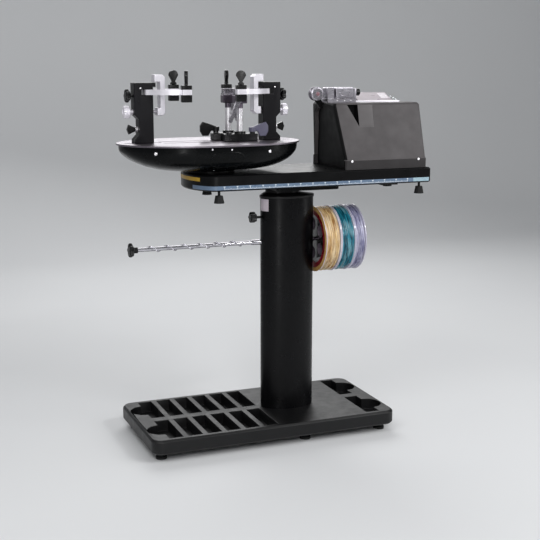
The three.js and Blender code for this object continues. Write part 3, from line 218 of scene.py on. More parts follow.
def stringStrand(name, tones, highlight):
    # polyester monofilament: glossy, each strand a little lighter or darker, with pale patches of
    # painted highlight
    roughness, ior, coat = finishSettings["string"]
    material, tree = newMaterial(name, roughness, ior=ior, coat=coat)
    colour = tones[0]
    for (stretch, noise, ramp), lighter in zip(finishSettings["strands"], (tones[1], highlight)):
        factor = ramped(tree, noiseOf(tree, objectPoints(tree, stretch), *noise), *ramp)
        colour = mixed(tree, factor, colour, lighter)
    return wired(material, colour)


def clearPlastic(name, tones):
    # polycarbonate cover: light is bent through it, and by its alpha some passes straight on
    roughness, ior, transmission, alpha, tone = finishSettings["clear"]
    material, tree = newMaterial(name, roughness, ior=ior)
    shader = tree.nodes["Principled BSDF"]
    shader.inputs["Transmission Weight"].default_value = transmission
    shader.inputs["Alpha"].default_value = alpha
    return wired(material, mixed(tree, noiseOf(tree, objectPoints(tree), *tone), *tones))


# a moulding is its name, tones, roughness, the grain's size and depth, its gloss and its worn edge
materials = {
    "column": powderCoated("satin black powder coat on steel", ("#040405", "#08080a"), 0.3, 0.16),
    "beam": powderCoated("satin black powder coat on aluminium", ("#070708", "#0c0c0d"), 0.32, 0.16,
                         "#2c2c2e"),
    "tower": powderCoated("black anodised aluminium", ("#0b0a0d", "#100f13"), 0.42, 0.2, "#3a393e"),
    "base": moulded("black ABS, spark eroded", ("#040405", "#08080a"), 0.44, 1.6, 0.06, 0.34,
                    "#2b2a2d"),
    "knob": moulded("black nylon, gloss moulded", ("#050506", "#0a0a0b"), 0.3, 2.2, 0.02, 0.3,
                    "#222325"),
    "collar": moulded("black ABS, plain", ("#070708", "#0d0d0e"), 0.35, 2.0, 0.02, 0.25),
    "hull": moulded("black ABS, satin gloss", ("#050607", "#090a0b"), 0.25, 3.2, 0.006, 0.1),
    "housing": moulded("charcoal ABS, pebble grain", ("#444142", "#4f4c4d"), 0.55, 2.0, 0.12, 0.25,
                       "#6d6a6a"),
    # also the painted highlight on the top of the housing's ledge
    "inset": moulded("charcoal ABS, smooth, and painted highlight", ("#4b4849", "#545152"), 0.45, 1.2, 0.05, 0.3, "#7a7676"),
    "skirt": moulded("charcoal ABS, finer grain", ("#272526", "#2f2d2e"), 0.5, 1.2, 0.06, 0.25,
                     "#76716f"),
    # also painted shade on the housing's left end and notch
    "recess": moulded("black ABS, pebble grain, and painted shade", ("#070708", "#0b0b0c"), 0.5, 2.0, 0.1, 0.14),
    "rubber": moulded("moulded rubber", ("#0b0b0c", "#131314"), 0.7, 0.8, 0.04, 0.3),
    "plate": machinedMetal("satin anodised aluminium", ("#787179", "#878189"), 0.36, (0.08, 1, 1), 1.6),
    "silver": machinedMetal("bead blasted aluminium", ("#e2dfe6", "#efecf3"), 0.36, (1, 1, 1), 1.0,
                            0.006, metallic=0.55),
    "post": machinedMetal("turned bright steel", ("#e6e3e8", "#fbf9fc"), 0.28, (1, 1, 0.1), 6.0,
                          0.001, metallic=0.8),
    "chrome": machinedMetal("bright chromed steel", ("#bdbbc2", "#dddce2"), 0.18, (0.1, 1, 1), 1.5,
                            0.003),
    # also painted shade on the chromed reel rod
    "gunmetal": machinedMetal("blackened steel, and painted shade on the reel rod", ("#57505a", "#756d78"), 0.32, (1, 1, 0.3), 1.6, 0.008),
    "handle": machinedMetal("polished cast zinc", ("#8b888e", "#a9a6ad"), 0.26, (1, 1, 1), 6.0, 0.003),
    "cast": machinedMetal("machined cast aluminium", ("#a7a3ab", "#c3c0c8"), 0.3, (0.1, 1, 1), 1.6),
    "lever": moulded("grey nylon", ("#4b495a", "#5f5d71"), 0.36, 1.6, 0.03, worn="#a09db2"),
    "panel": moulded("silver lacquered ABS", ("#a79ea4", "#b6adb3"), 0.32, 2.5, 0.01),
    "key": moulded("pale membrane foil", ("#e2dbe1", "#ece6eb"), 0.28, 2.5, 0.01),
    "hub": moulded("smoke black polystyrene", ("#0d0b0c", "#171315"), 0.22, 3.0, 0.01, coat=0.3),
    "hubBand": moulded("dark red polystyrene", ("#641018", "#7c1720"), 0.3, 3.0, 0.01),
    "web": moulded("smoked polystyrene web", ("#4b434c", "#5d545e"), 0.4, 3.0, 0.01),
    "goldSide": moulded("clear flange over gold string", ("#a8804a", "#d4ae6e"), 0.2, 3.0, 0.01,
                        coat=0.3),
    "tealSide": moulded("clear flange over teal string", ("#12485a", "#2a7f92"), 0.2, 3.0, 0.01,
                        coat=0.3),
    "lilacSide": moulded("clear flange over lilac string", ("#6a6988", "#9896b2"), 0.2, 3.0, 0.01,
                         coat=0.3),
    # the rim's pale tone is a painted highlight on clear plastic
    "rim": moulded("clear polystyrene rim, drawn pale with painted highlight", ("#b6b3c5", "#d6d3e1"), 0.18, 3.0, 0.01, coat=0.3),
    "strip": moulded("printed scale foil", ("#58697f", "#64788f"), 0.32, 2.0, 0.01),
    "stripEnd": moulded("bare end of the scale foil", ("#88a1af", "#97b0bb"), 0.3, 2.0, 0.01),
    "tick": moulded("white scale print", ("#dbe3ea", "#eef3f7"), 0.4, 2.0, 0.01),
    "yellow": moulded("yellow foil", ("#a8831c", "#c29c2a"), 0.35, 2.0, 0.01),
    "blank": moulded("plain pale foil", ("#b6abb5", "#c6bcc4"), 0.34, 2.0, 0.01),
    "rose": moulded("rose bearing seal", ("#8a5f68", "#a1777f"), 0.3, 2.0, 0.01),
    # the third colour of each string is a painted highlight, laid on in pale patches
    "gold": stringStrand("gold polyester string", ("#ab7a42", "#f4d89e"), "#fff5dc"),
    "teal": stringStrand("teal polyester string", ("#083f52", "#3092a8"), "#b4e4ec"),
    "lilac": stringStrand("lilac polyester string", ("#606086", "#b3b2cf"), "#f0effa"),
    "clear": clearPlastic("clear polycarbonate", ("#8f9498", "#a3a8ac")),
}
print("materials made:", len(materials))


# Mesh helpers: a shape is its points in frame metres and its faces

copySettings = {"merge": 2e-5, "cut": 1e-6, "flat": 1.5}
screwSettings = {"rings": 7, "sides": 18, "sunk": 0.4, "middle": (0.12, 0.99), "slot": 0.5,
                 "slotDepth": 0.35}
sideways = (0.0, 1.0, 0.0)


def newPiece(name, shape, look, body, replaced=(), smooth=True, sharp=35):
    vertices, faces = shape
    mesh = bpy.data.meshes.new(name)
    mesh.from_pydata([tuple(v) for v in vertices.tolist()], [], faces)
    mesh.update()
    work = bmesh.new()
    work.from_mesh(mesh)
    bmesh.ops.recalc_face_normals(work, faces=work.faces)
    work.to_mesh(mesh)
    work.free()
    finishPiece(name, mesh, look, body, replaced, smooth, sharp)


def finishPiece(name, mesh, look, body, replaced, smooth, sharp):
    piece = bpy.data.objects.new(name, mesh)
    bpy.context.scene.collection.objects.link(piece)
    for one in [look] if isinstance(look, str) else look:
        mesh.materials.append(materials[one])
    if smooth:
        mesh.shade_smooth()
        mesh.set_sharp_from_angle(angle=math.radians(sharp))
    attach(piece, body)
    if replaced:
        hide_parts(*replaced)
    return piece


def gridFaces(rows, columns, closedRows=False, closedColumns=False):
    # quads between neighbouring points of a rows by columns grid, worked out as whole arrays
    row = np.arange(rows if closedRows else rows - 1)[:, None]
    left = np.arange(columns if closedColumns else columns - 1)[None, :]
    here, below, right = row * columns, (row + 1) % rows * columns, (left + 1) % columns
    quads = np.stack([here + left, here + right, below + right, below + left], axis=-1)
    return quads.reshape(-1, 4).tolist()


def surface(grid, closedRows=False, caps=True):
    # a grid in machine millimetres whose rows are closed rings; one face closes each end row
    rows, columns = grid.shape[:2]
    faces = gridFaces(rows, columns, closedRows, True)
    if caps and not closedRows:
        faces.append(list(range(columns))[::-1])
        faces.append([(rows - 1) * columns + i for i in range(columns)])
    return toFrame(grid).reshape(-1, 3), faces


def sheet(grid):
    # an open grid in machine millimetres
    return toFrame(grid).reshape(-1, 3), gridFaces(*grid.shape[:2])


def joined(*shapes):
    vertices, faces, start = [], [], 0
    for points, quads in shapes:
        vertices.append(points)
        faces += [[i + start for i in face] for face in quads]
        start += len(points)
    return np.concatenate(vertices), faces


def turnedGrid(profile, axis, centre, segments, share=None):
    # radius r(v) is swept over angle u at its place along the axis; share(u, v) may lobe or knurl it
    profile = np.asarray(profile, dtype=float)
    angle = np.linspace(0, 2 * np.pi, segments, endpoint=False)
    radius, along = profile[:, :1], profile[:, 1:] + 0 * angle
    if share is not None:
        radius = radius * share(angle, np.arange(len(profile))[:, None])
    first, second = radius * np.cos(angle), radius * np.sin(angle)
    orders = {"X": (along, first, second), "Y": (first, along, second), "Z": (first, second, along)}
    return np.stack(orders[axis], axis=-1) + np.asarray(centre, dtype=float)


def roundedProfile(profile, radius, steps=4):
    # each inner corner becomes a short arc of the given radius, which takes less than half of a side
    points = [np.asarray(p, dtype=float) for p in profile]
    rounded = [points[0]]
    for before, corner, after in zip(points, points[1:], points[2:]):
        toBefore, toAfter = before - corner, after - corner
        back, ahead = np.linalg.norm(toBefore), np.linalg.norm(toAfter)
        reach = min(radius, back / 2.2, ahead / 2.2)
        start = corner + toBefore / back * reach
        end = corner + toAfter / ahead * reach
        t = np.linspace(0, 1, steps + 1)[:, None]
        rounded.extend((1 - t) ** 2 * start + 2 * t * (1 - t) * corner + t ** 2 * end)
    rounded.append(points[-1])
    return np.array(rounded)


def turnedPiece(name, profile, axis, centre, segments, radius, look, body, replaced=(),
                share=None):
    grid = turnedGrid(roundedProfile(profile, radius), axis, centre, segments, share)
    newPiece(name, surface(grid), look, body, replaced)


def ribbedKnob(node, body, axis, s):
    # between two rows of the profile the radius rises and falls with the angle
    first, last = s["ribRows"]

    def share(angle, row):
        wave = np.cos(s["ribs"] * angle)
        wave = np.sign(wave) if s["square"] else wave
        return 1 + s["ribHigh"] * wave * ((row > first) & (row < last))
    turnedPiece(node + "_grip", s["profile"], axis, s["place"], s["segments"], s["round"], "knob", body,
                (node,), share)


def tubeGrid(path, radius, sides, guide=(1.0, 0.0, 0.0)):
    # a ring is carried along the path, square to it; the path never runs along the guide
    path = np.asarray(path, dtype=float)
    along = np.gradient(path, axis=0)
    along /= np.linalg.norm(along, axis=1)[:, None]
    guide = np.array(guide)
    across = guide - along * (along @ guide)[:, None]
    across /= np.linalg.norm(across, axis=1)[:, None]
    other = np.cross(along, across)
    angle = np.linspace(0, 2 * np.pi, sides, endpoint=False)
    cosine, sine = np.cos(angle)[None, :, None], np.sin(angle)[None, :, None]
    ring = across[:, None, :] * cosine + other[:, None, :] * sine
    return path[:, None, :] + radius * ring


def slab(low, high):
    # a plain block from its lowest to its highest corner
    xs, ys, zs = zip(low, high)
    corners = [(xs[0], ys[0]), (xs[1], ys[0]), (xs[1], ys[1]), (xs[0], ys[1])]
    return surface(np.array([[(x, y, z) for x, y in corners] for z in zs]))


def bevelledCopy(node, body, look, width, pick=None, cuts=(), segments=2, angle=30, sharp=40):
    # the node's own shape with rounded edges, so that each edge catches the light
    s = copySettings
    work = bmesh.new()
    work.from_mesh(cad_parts[node].data)
    bmesh.ops.remove_doubles(work, verts=work.verts, dist=s["merge"])
    for point, normal in cuts:
        geometry = work.verts[:] + work.edges[:] + work.faces[:]
        bmesh.ops.bisect_plane(work, geom=geometry, plane_co=toFrame(point), plane_no=normal,
                               dist=s["cut"])
    if pick:
        for face in work.faces:
            centre = face.calc_center_median()
            place = (centre.x + machineShift) / mm, centre.y / mm, centre.z / mm
            face.material_index = pick(*place, face.normal)
    bmesh.ops.dissolve_limit(work, angle_limit=math.radians(s["flat"]), verts=work.verts,
                             edges=work.edges, delimit={"NORMAL", "MATERIAL"} if cuts else {"NORMAL"})
    mesh = bpy.data.meshes.new(node + "_look")
    work.to_mesh(mesh)
    work.free()
    piece = finishPiece(node + "_look", mesh, look, body, (node,), True, sharp)
    bevel = piece.modifiers.new("rounded edges", "BEVEL")
    bevel.width = width * mm
    bevel.segments = segments
    bevel.limit_method = "ANGLE"
    bevel.angle_limit = math.radians(angle)
    bevel.harden_normals = True
    bevel.use_clamp_overlap = True


def domeScrew(name, place, facing, radius, height, body):
    # radius falls as cos and height rises as sin of the same angle, with the middle sunk in
    s = screwSettings
    angle = np.linspace(0, np.pi / 2, s["rings"])[:-1]
    profile = np.stack([radius * np.cos(angle), height * np.sin(angle)], axis=-1)
    middle = np.array(s["middle"]) * (radius, height)
    profile = np.concatenate([[[radius, -s["sunk"]]], profile, [middle]])
    grid = turnedGrid(profile, "Z", (0, 0, 0), s["sides"])
    inner = np.hypot(grid[..., 0], grid[..., 1]) < radius * s["slot"]
    grid[..., 2] = np.where(inner, grid[..., 2] - height * s["slotDepth"], grid[..., 2])
    turn = np.array(Vector((0, 0, 1)).rotation_difference(Vector(facing)).to_matrix())
    grid = grid @ turn.T + np.asarray(place, dtype=float)
    newPiece(name, surface(grid), "post", body)


# Stand

# the ovals are (middle, width, depth, height), in the order in which they follow round the wall
standSettings = {
    "column": (
        (100, 172, 110, 70.3), (100, 172, 110, 736.4), (100, 170.8, 108.8, 737),
        (100, 166, 104, 737), (100, 166, 104, 70.3),
    ),
    "collar": (
        (100, 165.4, 103.4, 712.3), (100, 165.4, 103.4, 737.3), (100, 176, 114, 737.3),
        (100, 176.6, 114.6, 738.3), (100, 176.6, 114.6, 743.8), (100, 174, 112, 745.3),
        (84, 122, 90, 751.5), (84, 120, 88, 752.3), (84, 108.6, 76.6, 752.3), (84, 108.6, 76.6, 712.3),
    ),
    "lift": ((84, 108, 76, 440), (84, 108, 76, 766.2), (84, 100, 68, 761.7), (84, 100, 68, 440)),
    "ovalSides": 96, "cornerSteps": 8,
    "flange": {"left": 30, "right": 236, "front": -95, "back": 95, "radius": 12, "low": 765.4,
               "high": 777.7, "edge": 1.0},
    "foot": ((onAxis, 0), (17, 0), (17, 8), (11, 8.6), (11, 24.7), (onAxis, 24.7)),
    "footRound": 1.6, "footSides": 32, "footEnds": {"front": -145, "back": 145},
    "footPlaces": {"left": -359, "middle": 103, "right": 359},
    "label": {"turn": (178.5, 212.6, 10), "height": (698, 735, 3), "proud": 0.5},
}


def ovalShell(name):
    # x = x0 + a cos u, y = b sin u at each height
    angle = np.linspace(0, 2 * np.pi, standSettings["ovalSides"], endpoint=False)
    rings = []
    for x, width, depth, z in standSettings[name]:
        ring = [x + width / 2 * np.cos(angle), depth / 2 * np.sin(angle), z + 0 * angle]
        rings.append(np.stack(ring, axis=-1))
    return surface(np.stack(rings), closedRows=True)


def roundedOutline(left, right, low, high, radius):
    # four quarter circles round a rectangle
    angle = np.linspace(0, np.pi / 2, standSettings["cornerSteps"])
    west, east, south, north = left + radius, right - radius, low + radius, high - radius
    corners = []
    for x, y, start in ((east, south, -0.5), (east, north, 0), (west, north, 0.5), (west, south, 1)):
        turn = angle + start * np.pi
        corners.append(np.stack([x + radius * np.cos(turn), y + radius * np.sin(turn)], axis=-1))
    return np.concatenate(corners)


def raised(path, z):
    # plan points at one height
    return np.concatenate([path, np.full((len(path), 1), z)], axis=1)


def roundedSlab(left, right, front, back, radius, low, high, edge):
    # a rounded rectangle raised from low to high, its rims drawn in by the edge
    outer = roundedOutline(left, right, front, back, radius)
    inner = roundedOutline(left + edge, right - edge, front + edge, back - edge, radius - edge)
    rings = [(inner, low), (outer, low + edge), (outer, high - edge), (inner, high)]
    return surface(np.stack([raised(shape, z) for shape, z in rings]))


def makeColumn():
    newPiece("column_tube", ovalShell("column"), "column", "stand", ("column",))
    newPiece("column_collar_ring", ovalShell("collar"), "collar", "stand", ("column_collar",))
    lift = joined(ovalShell("lift"), roundedSlab(**standSettings["flange"]))
    newPiece("lift_tube_smooth", lift, "column", "head", ("lift_tube",))


def makeFeet():
    s = standSettings
    for end, y in s["footEnds"].items():
        for place, x in s["footPlaces"].items():
            node = f"base_foot_{end}_{place}"
            turnedPiece(node + "_pad", s["foot"], "Z", (x, y, 0), s["footSides"], s["footRound"],
                        "rubber", "stand", (node,))


def makeColumnLabel():
    # a thin patch on the oval wall, from its left end towards the front; it is left plain
    s = standSettings["label"]
    middle, width, depth = standSettings["column"][0][:3]
    angle, height = np.radians(np.linspace(*s["turn"])), np.linspace(*s["height"])[:, None]
    x = middle + (width / 2 + s["proud"]) * np.cos(angle) + 0 * height
    y = (depth / 2 + s["proud"]) * np.sin(angle) + 0 * height
    newPiece("column_label", sheet(np.stack([x, y, height + 0 * angle], axis=-1)), "blank", "stand")


makeColumn()
makeFeet()
makeColumnLabel()
bevelledCopy("base_plate", "stand", "base", 1.4, angle=40)
print("stand made")


# Rods, their knobs and the divider wire

rodSettings = {
    "z": 600, "radius": 6, "left": -390, "end": 27, "round": 0.8, "segments": 32,
    "sleeve": (8, -19.4, 13.6), "nut": (10, 19.6, 27.4), "nutBore": 5, "nutSides": 6,
    "wire": {"radius": 1.7, "pitch": 52, "left": -352, "turns": 6, "clear": 0.5, "over": 0.04,
             "steps": 32, "sides": 10, "tail": (4, 3, 2)},
}
# each knob: node, body, radius, where its head starts and ends, height, and its shaft's radius and root
knobSettings = {
    "lobes": 5, "dip": 0.16, "segments": 90, "stemSegments": 24, "stemRound": 0.4,
    "knobs": (
        ("rack_rod_knob", "rack_rod_end", 22.5, -390, -406, 600, 9, -378.4),
        ("reel_rod_knob", "reel_rod_end", 22.5, 339.4, 355.2, 600, 9, 327.6),
        ("height_knob", "height_lock", 17.5, -2, -23.8, 678, 4, 29),
        ("arm_knob_left", "arm_drive_left", 20, -389.6, -405.4, 1051, 4, -369.6),
        ("arm_knob_right", "arm_drive_right", 20, 76.6, 92.4, 1051, 4, 56.6),
    ),
}


def lobedShare(angle, row):
    # radius drops by the dip between the lobes
    return 1 - knobSettings["dip"] * (1 - np.cos(knobSettings["lobes"] * angle))


def lobedKnob(node, body, radius, start, end, z, thick, root):
    # a lobed head from one place along X to another, its outer face dished, on a plain shaft
    s = knobSettings
    edge = radius / 5
    facing = 1 if end > start else -1
    slope = facing * edge
    profile = [
        (onAxis, start), (radius * 0.55, start), (radius - edge, start + slope * 0.5),
        (radius, start + slope), (radius, end - slope), (radius - edge, end - slope * 0.2),
        (radius * 0.6, end), (radius * 0.45, end - slope * 0.25), (onAxis, end - slope * 0.3),
    ]
    head = turnedGrid(roundedProfile(profile, edge), "X", (0, 0, z), s["segments"], lobedShare)
    rod = [(onAxis, root), (thick, root), (thick, start + facing), (onAxis, start + facing)]
    stem = turnedGrid(roundedProfile(rod, s["stemRound"], 2), "X", (0, 0, z), s["stemSegments"])
    newPiece(node + "_lobed", joined(surface(head), surface(stem)), "knob", body, (node,),
             sharp=50)


def rodRing(radius, low, high, bore, sides=None):
    # a collar with rounded edges, or a nut where the number of its sides is given
    profile = [(bore, low), (radius, low), (radius, high), (bore, high)]
    if sides is None:
        profile, sides = roundedProfile(profile, rodSettings["round"]), rodSettings["segments"]
    return surface(turnedGrid(profile, "X", (0, 0, rodSettings["z"]), sides))


def makeRackRod():
    s = rodSettings
    shaft = rodRing(s["radius"], s["left"], s["end"], onAxis)
    sleeve = rodRing(*s["sleeve"], s["radius"])
    nut = rodRing(*s["nut"], s["nutBore"], s["nutSides"])
    newPiece("rack_rod_bright", joined(shaft, sleeve, nut), "chrome", "stand", ("rack_rod",))


def makeWire():
    # x = x0 + p t, y = R cos 2 pi t, z = R sin 2 pi t, with a short tail at each end
    s, middle = rodSettings["wire"], rodSettings["z"]
    turn = np.linspace(-s["over"], s["turns"] + s["over"], s["turns"] * s["steps"])
    reach = rodSettings["radius"] + s["radius"] + s["clear"]
    x, y = s["left"] + s["pitch"] * turn, reach * np.cos(2 * np.pi * turn)
    path = np.stack([x, y, middle + reach * np.sin(2 * np.pi * turn)], axis=-1)
    long, side, rise = s["tail"]
    first, last = [x[0] - long, side, middle - rise], [x[-1] + long, side, middle + rise]
    wire = tubeGrid(np.concatenate([[first], path, [last]]), s["radius"], s["sides"])
    newPiece("divider_wire", surface(wire), "chrome", "stand", ())


makeRackRod()
makeWire()
# the chromed reel rod is drawn in dark blackened steel as painted shade, which dims its highlight
bevelledCopy("reel_rod", "stand", "gunmetal", 0.5, angle=50)
for knob in knobSettings["knobs"]:
    lobedKnob(*knob)
print("rods and knobs made")


# Reels with their string

# each layer of string is its pitch, its height over the first layer and its phase
reelSettings = {
    "left": 190, "widths": (52, 47, 36), "between": 0.8, "z": 600, "segments": 96,
    "colours": ("gold", "teal", "lilac"), "looks": ("hub", "hubBand", "rim", "web"),
    "rimFrom": 91.5, "wall": (70, 80), "windows": (28, 68.5), "near": 0.3, "sideFace": 0.3,
    "ring": (90.5, 103.4), "ringProud": 0.25, "inset": 2.9, "pack": (91.3, 96.5, 0.8),
    "strand": 1.15, "nest": 0.9, "steps": 72, "sides": 6, "waver": (0.35, 5.1), "swell": (0.25, 3.3),
    "layers": ((2.7, 0.0, 0.0), (7.3, 2.1, 1.9), (13.0, 3.4, 4.0)),
}


def reelRing(inner, outer, low, high, edge=0):
    # a ring round the rod, its corners rounded by the edge
    s = reelSettings
    profile = [(inner, low), (inner, high), (outer, high), (outer, low), (inner, low)]
    if edge:
        profile = roundedProfile(profile[::-1], edge)
    return surface(turnedGrid(profile, "X", (0, 0, s["z"]), s["segments"]), caps=False)


def strandLayer(low, high, pitch, rise, phase):
    # x runs from side to side over t turns, and x and radius waver slowly, so that turns lie unevenly
    s = reelSettings
    thick, (side, sideWave), (swell, swellWave) = s["strand"], s["waver"], s["swell"]
    room = high - low - 2 * thick
    turns = room / pitch
    t = np.linspace(0, turns, int(turns * s["steps"]))
    x = low + thick + room * t / turns + side * np.sin(sideWave * t + phase) * (rise > 0)
    x = np.clip(x, low + thick, high - thick)
    reach = s["pack"][1] + thick * s["nest"] + rise + swell * np.sin(swellWave * t + phase)
    angle = 2 * np.pi * t + phase
    path = np.stack([x, reach * np.cos(angle), s["z"] + reach * np.sin(angle)], axis=-1)
    return surface(tubeGrid(path, thick, s["sides"]))


def makeReel(index, left, right, colour):
    s, body = reelSettings, f"reel_{index}"

    def pick(x, y, z, normal):
        # pale flange rims, their clear plastic drawn opaque and pale as a painted highlight, dark red
        # left face and recess wall, greyish window walls, smoke black
        radius = math.hypot(y, z - s["z"])
        inner, outer = s["wall"]
        if x < left + s["near"] and radius > inner:
            return 1
        if x > right - s["near"] and normal.x > s["sideFace"]:
            return 0
        # the rims get the pale painted highlight
        if radius > s["rimFrom"]:
            return 2
        if abs(normal.x) > s["sideFace"]:
            return 0
        if inner < radius < outer:
            return 1
        return 3 if s["windows"][0] < radius < s["windows"][1] else 0
    bevelledCopy(f"reel_hub_{index}", body, s["looks"], 0.6, pick, angle=35)
    # a thin ring in the string's tone on each flange stands for the string seen through it
    proud = s["ringProud"]
    rings = [reelRing(*s["ring"], left, left - proud), reelRing(*s["ring"], right, right + proud)]
    newPiece(f"flange_sides_{index}", joined(*rings), colour + "Side", body)
    # the inner layers of string are one drum with rounded rims
    low, high = left + s["inset"], right - s["inset"]
    core, outer, edge = s["pack"]
    parts = [reelRing(core, outer, low, high, edge)]
    parts += [strandLayer(low, high, *layer) for layer in s["layers"]]
    newPiece(f"string_pack_{index}", joined(*parts), colour, body, (f"string_winding_{index}",),
             sharp=80)


left = reelSettings["left"]
for index, (width, colour) in enumerate(zip(reelSettings["widths"], reelSettings["colours"]), 1):
    makeReel(index, left, left + width, colour)
    left = left + width + reelSettings["between"]
print("reels made")


# Beam with its scale strip, labels and feet

# a path is where it starts and ends and its points, a band its lowest and highest place and how proud
beamSettings = {
    "nose": ((-165, -130), (-203, -130), (-231, -59.8), (-231, 0)), "half": 130, "feetTop": 765,
    "edge": (470, -163, 30), "wrap": (0, 0.34, 20), "plain": (526, 470, 6), "band": (782.5, 794, 0.35),
    "ticks": (-150, 452, 4), "tick": (0.6, 783.3, (6.0, 4.4, 2.8)), "dash": (2.4, 790.6, 792.6),
    "tickDeep": 0.3, "label": (0.24, 0.8, 40), "labelBand": (806, 817, 0.35),
    "brake": {
        "place": (-150, 0, 801.5), "segments": 80, "round": 1.2, "ribs": 20, "ribHigh": 0.03,
        "ribRows": (14, 22), "square": False,
        "profile": ((onAxis, 118), (4, 118), (4, 136), (11, 136), (11, 146), (8.2, 150), (onAxis, 150)),
    },
}


def beamEnd(share):
    # the plan's left end from front corner to back corner: two cubic curves that meet at the nose
    front = share <= 0.5
    t = np.where(front, 2 * share, 2 - 2 * share)[:, None]
    weights = ((1 - t) ** 3, 3 * t * (1 - t) ** 2, 3 * t ** 2 * (1 - t), t ** 3)
    place = sum(w * np.array(corner, dtype=float) for w, corner in zip(weights, beamSettings["nose"]))
    place[:, 1] = np.where(front, place[:, 1], -place[:, 1])
    return place


def frontEdge(start, stop, count):
    return np.array([(x, -beamSettings["half"]) for x in np.linspace(start, stop, count)])


def makeBand(name, path, band, look):
    # a thin band on a wall: the path is moved outwards by how far it stands proud
    low, high, proud = beamSettings[band]
    along = np.gradient(path, axis=0)
    along /= np.linalg.norm(along, axis=1)[:, None]
    outward = np.stack([along[:, 1], -along[:, 0]], axis=-1)
    facing = np.sign((outward * path).sum(axis=1))[:, None]
    outer = path + outward * facing * proud
    newPiece(name, sheet(np.stack([raised(outer, z) for z in (low, high)])), look, "head")


def beamLook(x, y, z, normal):
    return 1 if z < beamSettings["feetTop"] else 0


def makeTicks():
    # a longer mark at each fifth tick, and at each tenth a small dash above it
    s, ticks = beamSettings, []
    front = -s["half"] - s["band"][2]
    half, foot, tall = s["tick"]

    def mark(x, half, low, high):
        ticks.append(slab((x - half, front - s["tickDeep"], low), (x + half, front, high)))
    for i, x in enumerate(np.arange(*s["ticks"])):
        mark(x, half, foot, foot + tall[0 if i % 10 == 0 else 1 if i % 5 == 0 else 2])
        if i % 10 == 0:
            mark(x, *s["dash"])
    newPiece("scale_ticks", joined(*ticks), "tick", "head", smooth=False)


def makeBands():
    s = beamSettings
    path = np.concatenate([frontEdge(*s["edge"]), beamEnd(np.linspace(*s["wrap"]))])
    makeBand("scale_strip", path, "band", "strip")
    makeBand("scale_strip_end", frontEdge(*s["plain"]), "band", "stripEnd")
    makeTicks()
    makeBand("end_label", beamEnd(np.linspace(*s["label"])), "labelBand", "yellow")


bevelledCopy("beam", "head", ("beam", "rubber"), 1.6, beamLook, angle=35)
makeBands()
ribbedKnob("brake_knob", "brake", "Y", beamSettings["brake"])
bevelledCopy("power_switch", "rocker", "knob", 0.5)
print("beam made")


# Turntable: the hull is a function of a place along it and an angle round its section

tableSettings = {
    "x": -151, "length": 560, "depth": 360, "inset": 7, "top": 909.7, "bottom": 832, "tip": 14,
    "planPower": 2.3, "keelPower": 3.8, "blend": 0.8, "section": 0.66,
    "end": 0.008, "alongSteps": 110, "roundSteps": 61, "bunch": 0.35,
    "screws": ((-351, 893, 5), (-18, 893, 5), (-199, 904, 2.6), (-141, 902, 2.6), (-173, 838, 2.6)),
    "screwRise": 0.5, "probe": 2,
    "relief": {"x": -152, "z": 873, "wide": 48, "high": 22, "power": 0.6, "radius": 1.2, "points": 73,
               "sides": 8},
}


def keelDepth(along):
    # t + (d - t) (1 - |s|^k)^m, from the tip's depth t to the middle's depth d
    s = tableSettings
    drop = s["top"] - s["bottom"]
    share = np.clip(1 - np.abs(along) ** s["keelPower"], 0, 1) ** s["blend"]
    return s["tip"] + (drop - s["tip"]) * share


def hullSection(along, angle):
    # half depth b sqrt(1 - |s|^p), and a section that is a superellipse over the keel's depth
    s = tableSettings
    halfLength = s["length"] / 2 - s["inset"]
    wide = (s["depth"] / 2 - s["inset"]) * np.sqrt(np.clip(1 - np.abs(along) ** s["planPower"], 0, 1))
    y = -wide * np.sign(np.cos(angle)) * np.abs(np.cos(angle)) ** s["section"]
    z = s["top"] - keelDepth(along) * np.sin(angle) ** s["section"]
    return np.stack([s["x"] + halfLength * along + 0 * angle, y, z], axis=-1)


def makeHull():
    s = tableSettings
    t = np.linspace(s["end"], 1 - s["end"], s["alongSteps"])[:, None]
    angle = np.linspace(0, np.pi, s["roundSteps"])[None, :]
    angle = angle + 0.5 * np.sin(2 * angle) * s["bunch"]
    grid = hullSection(-np.cos(np.pi * t), np.clip(angle, 0, np.pi))
    newPiece("turntable_hull_smooth", surface(grid), "hull", "turntable", ("turntable_hull",),
             sharp=60)


def hullFront(x, z):
    # where the hull's front wall lies at a place along it and a height
    s = tableSettings
    along = (x - s["x"]) / (s["length"] / 2 - s["inset"])
    angle = math.asin(min(1, ((s["top"] - z) / keelDepth(along)) ** (1 / s["section"])))
    return hullSection(np.array([[along]]), np.array([[angle]]))[0, 0]


def makeHullScrews():
    s = tableSettings
    for i, (x, z, radius) in enumerate(s["screws"], 1):
        here = hullFront(x, z)
        above, beside = hullFront(x, z + s["probe"]), hullFront(x + s["probe"], z)
        facing = np.cross(beside - here, above - here)
        facing /= np.linalg.norm(facing)
        if facing[1] > 0:
            facing = -facing
        domeScrew(f"hull_screw_{i}", here, facing, radius, radius * s["screwRise"], "turntable")


def makeHullRelief():
    # a bare oval rim: x = x0 + a cos u, z = z0 + b sin u, both drawn out towards a rectangle
    s = tableSettings["relief"]
    angle = np.linspace(0, 2 * np.pi, s["points"])
    flat = [np.sign(wave) * np.abs(wave) ** s["power"] for wave in (np.cos(angle), np.sin(angle))]
    path = [hullFront(s["x"] + s["wide"] * c, s["z"] + s["high"] * v) for c, v in zip(*flat)]
    tube = tubeGrid(np.array(path + path[1:3]), s["radius"], s["sides"], sideways)
    newPiece("hull_relief", surface(tube), "hull", "turntable")


makeHull()
makeHullScrews()
makeHullRelief()
bevelledCopy("turntable_plate", "turntable", "plate", 1.1, segments=3, angle=35)
bevelledCopy("turntable_bearing", "head", "beam", 0.8)
print("turntable made")


# Racket mounts: the two stand at their own distances from the turntable's middle

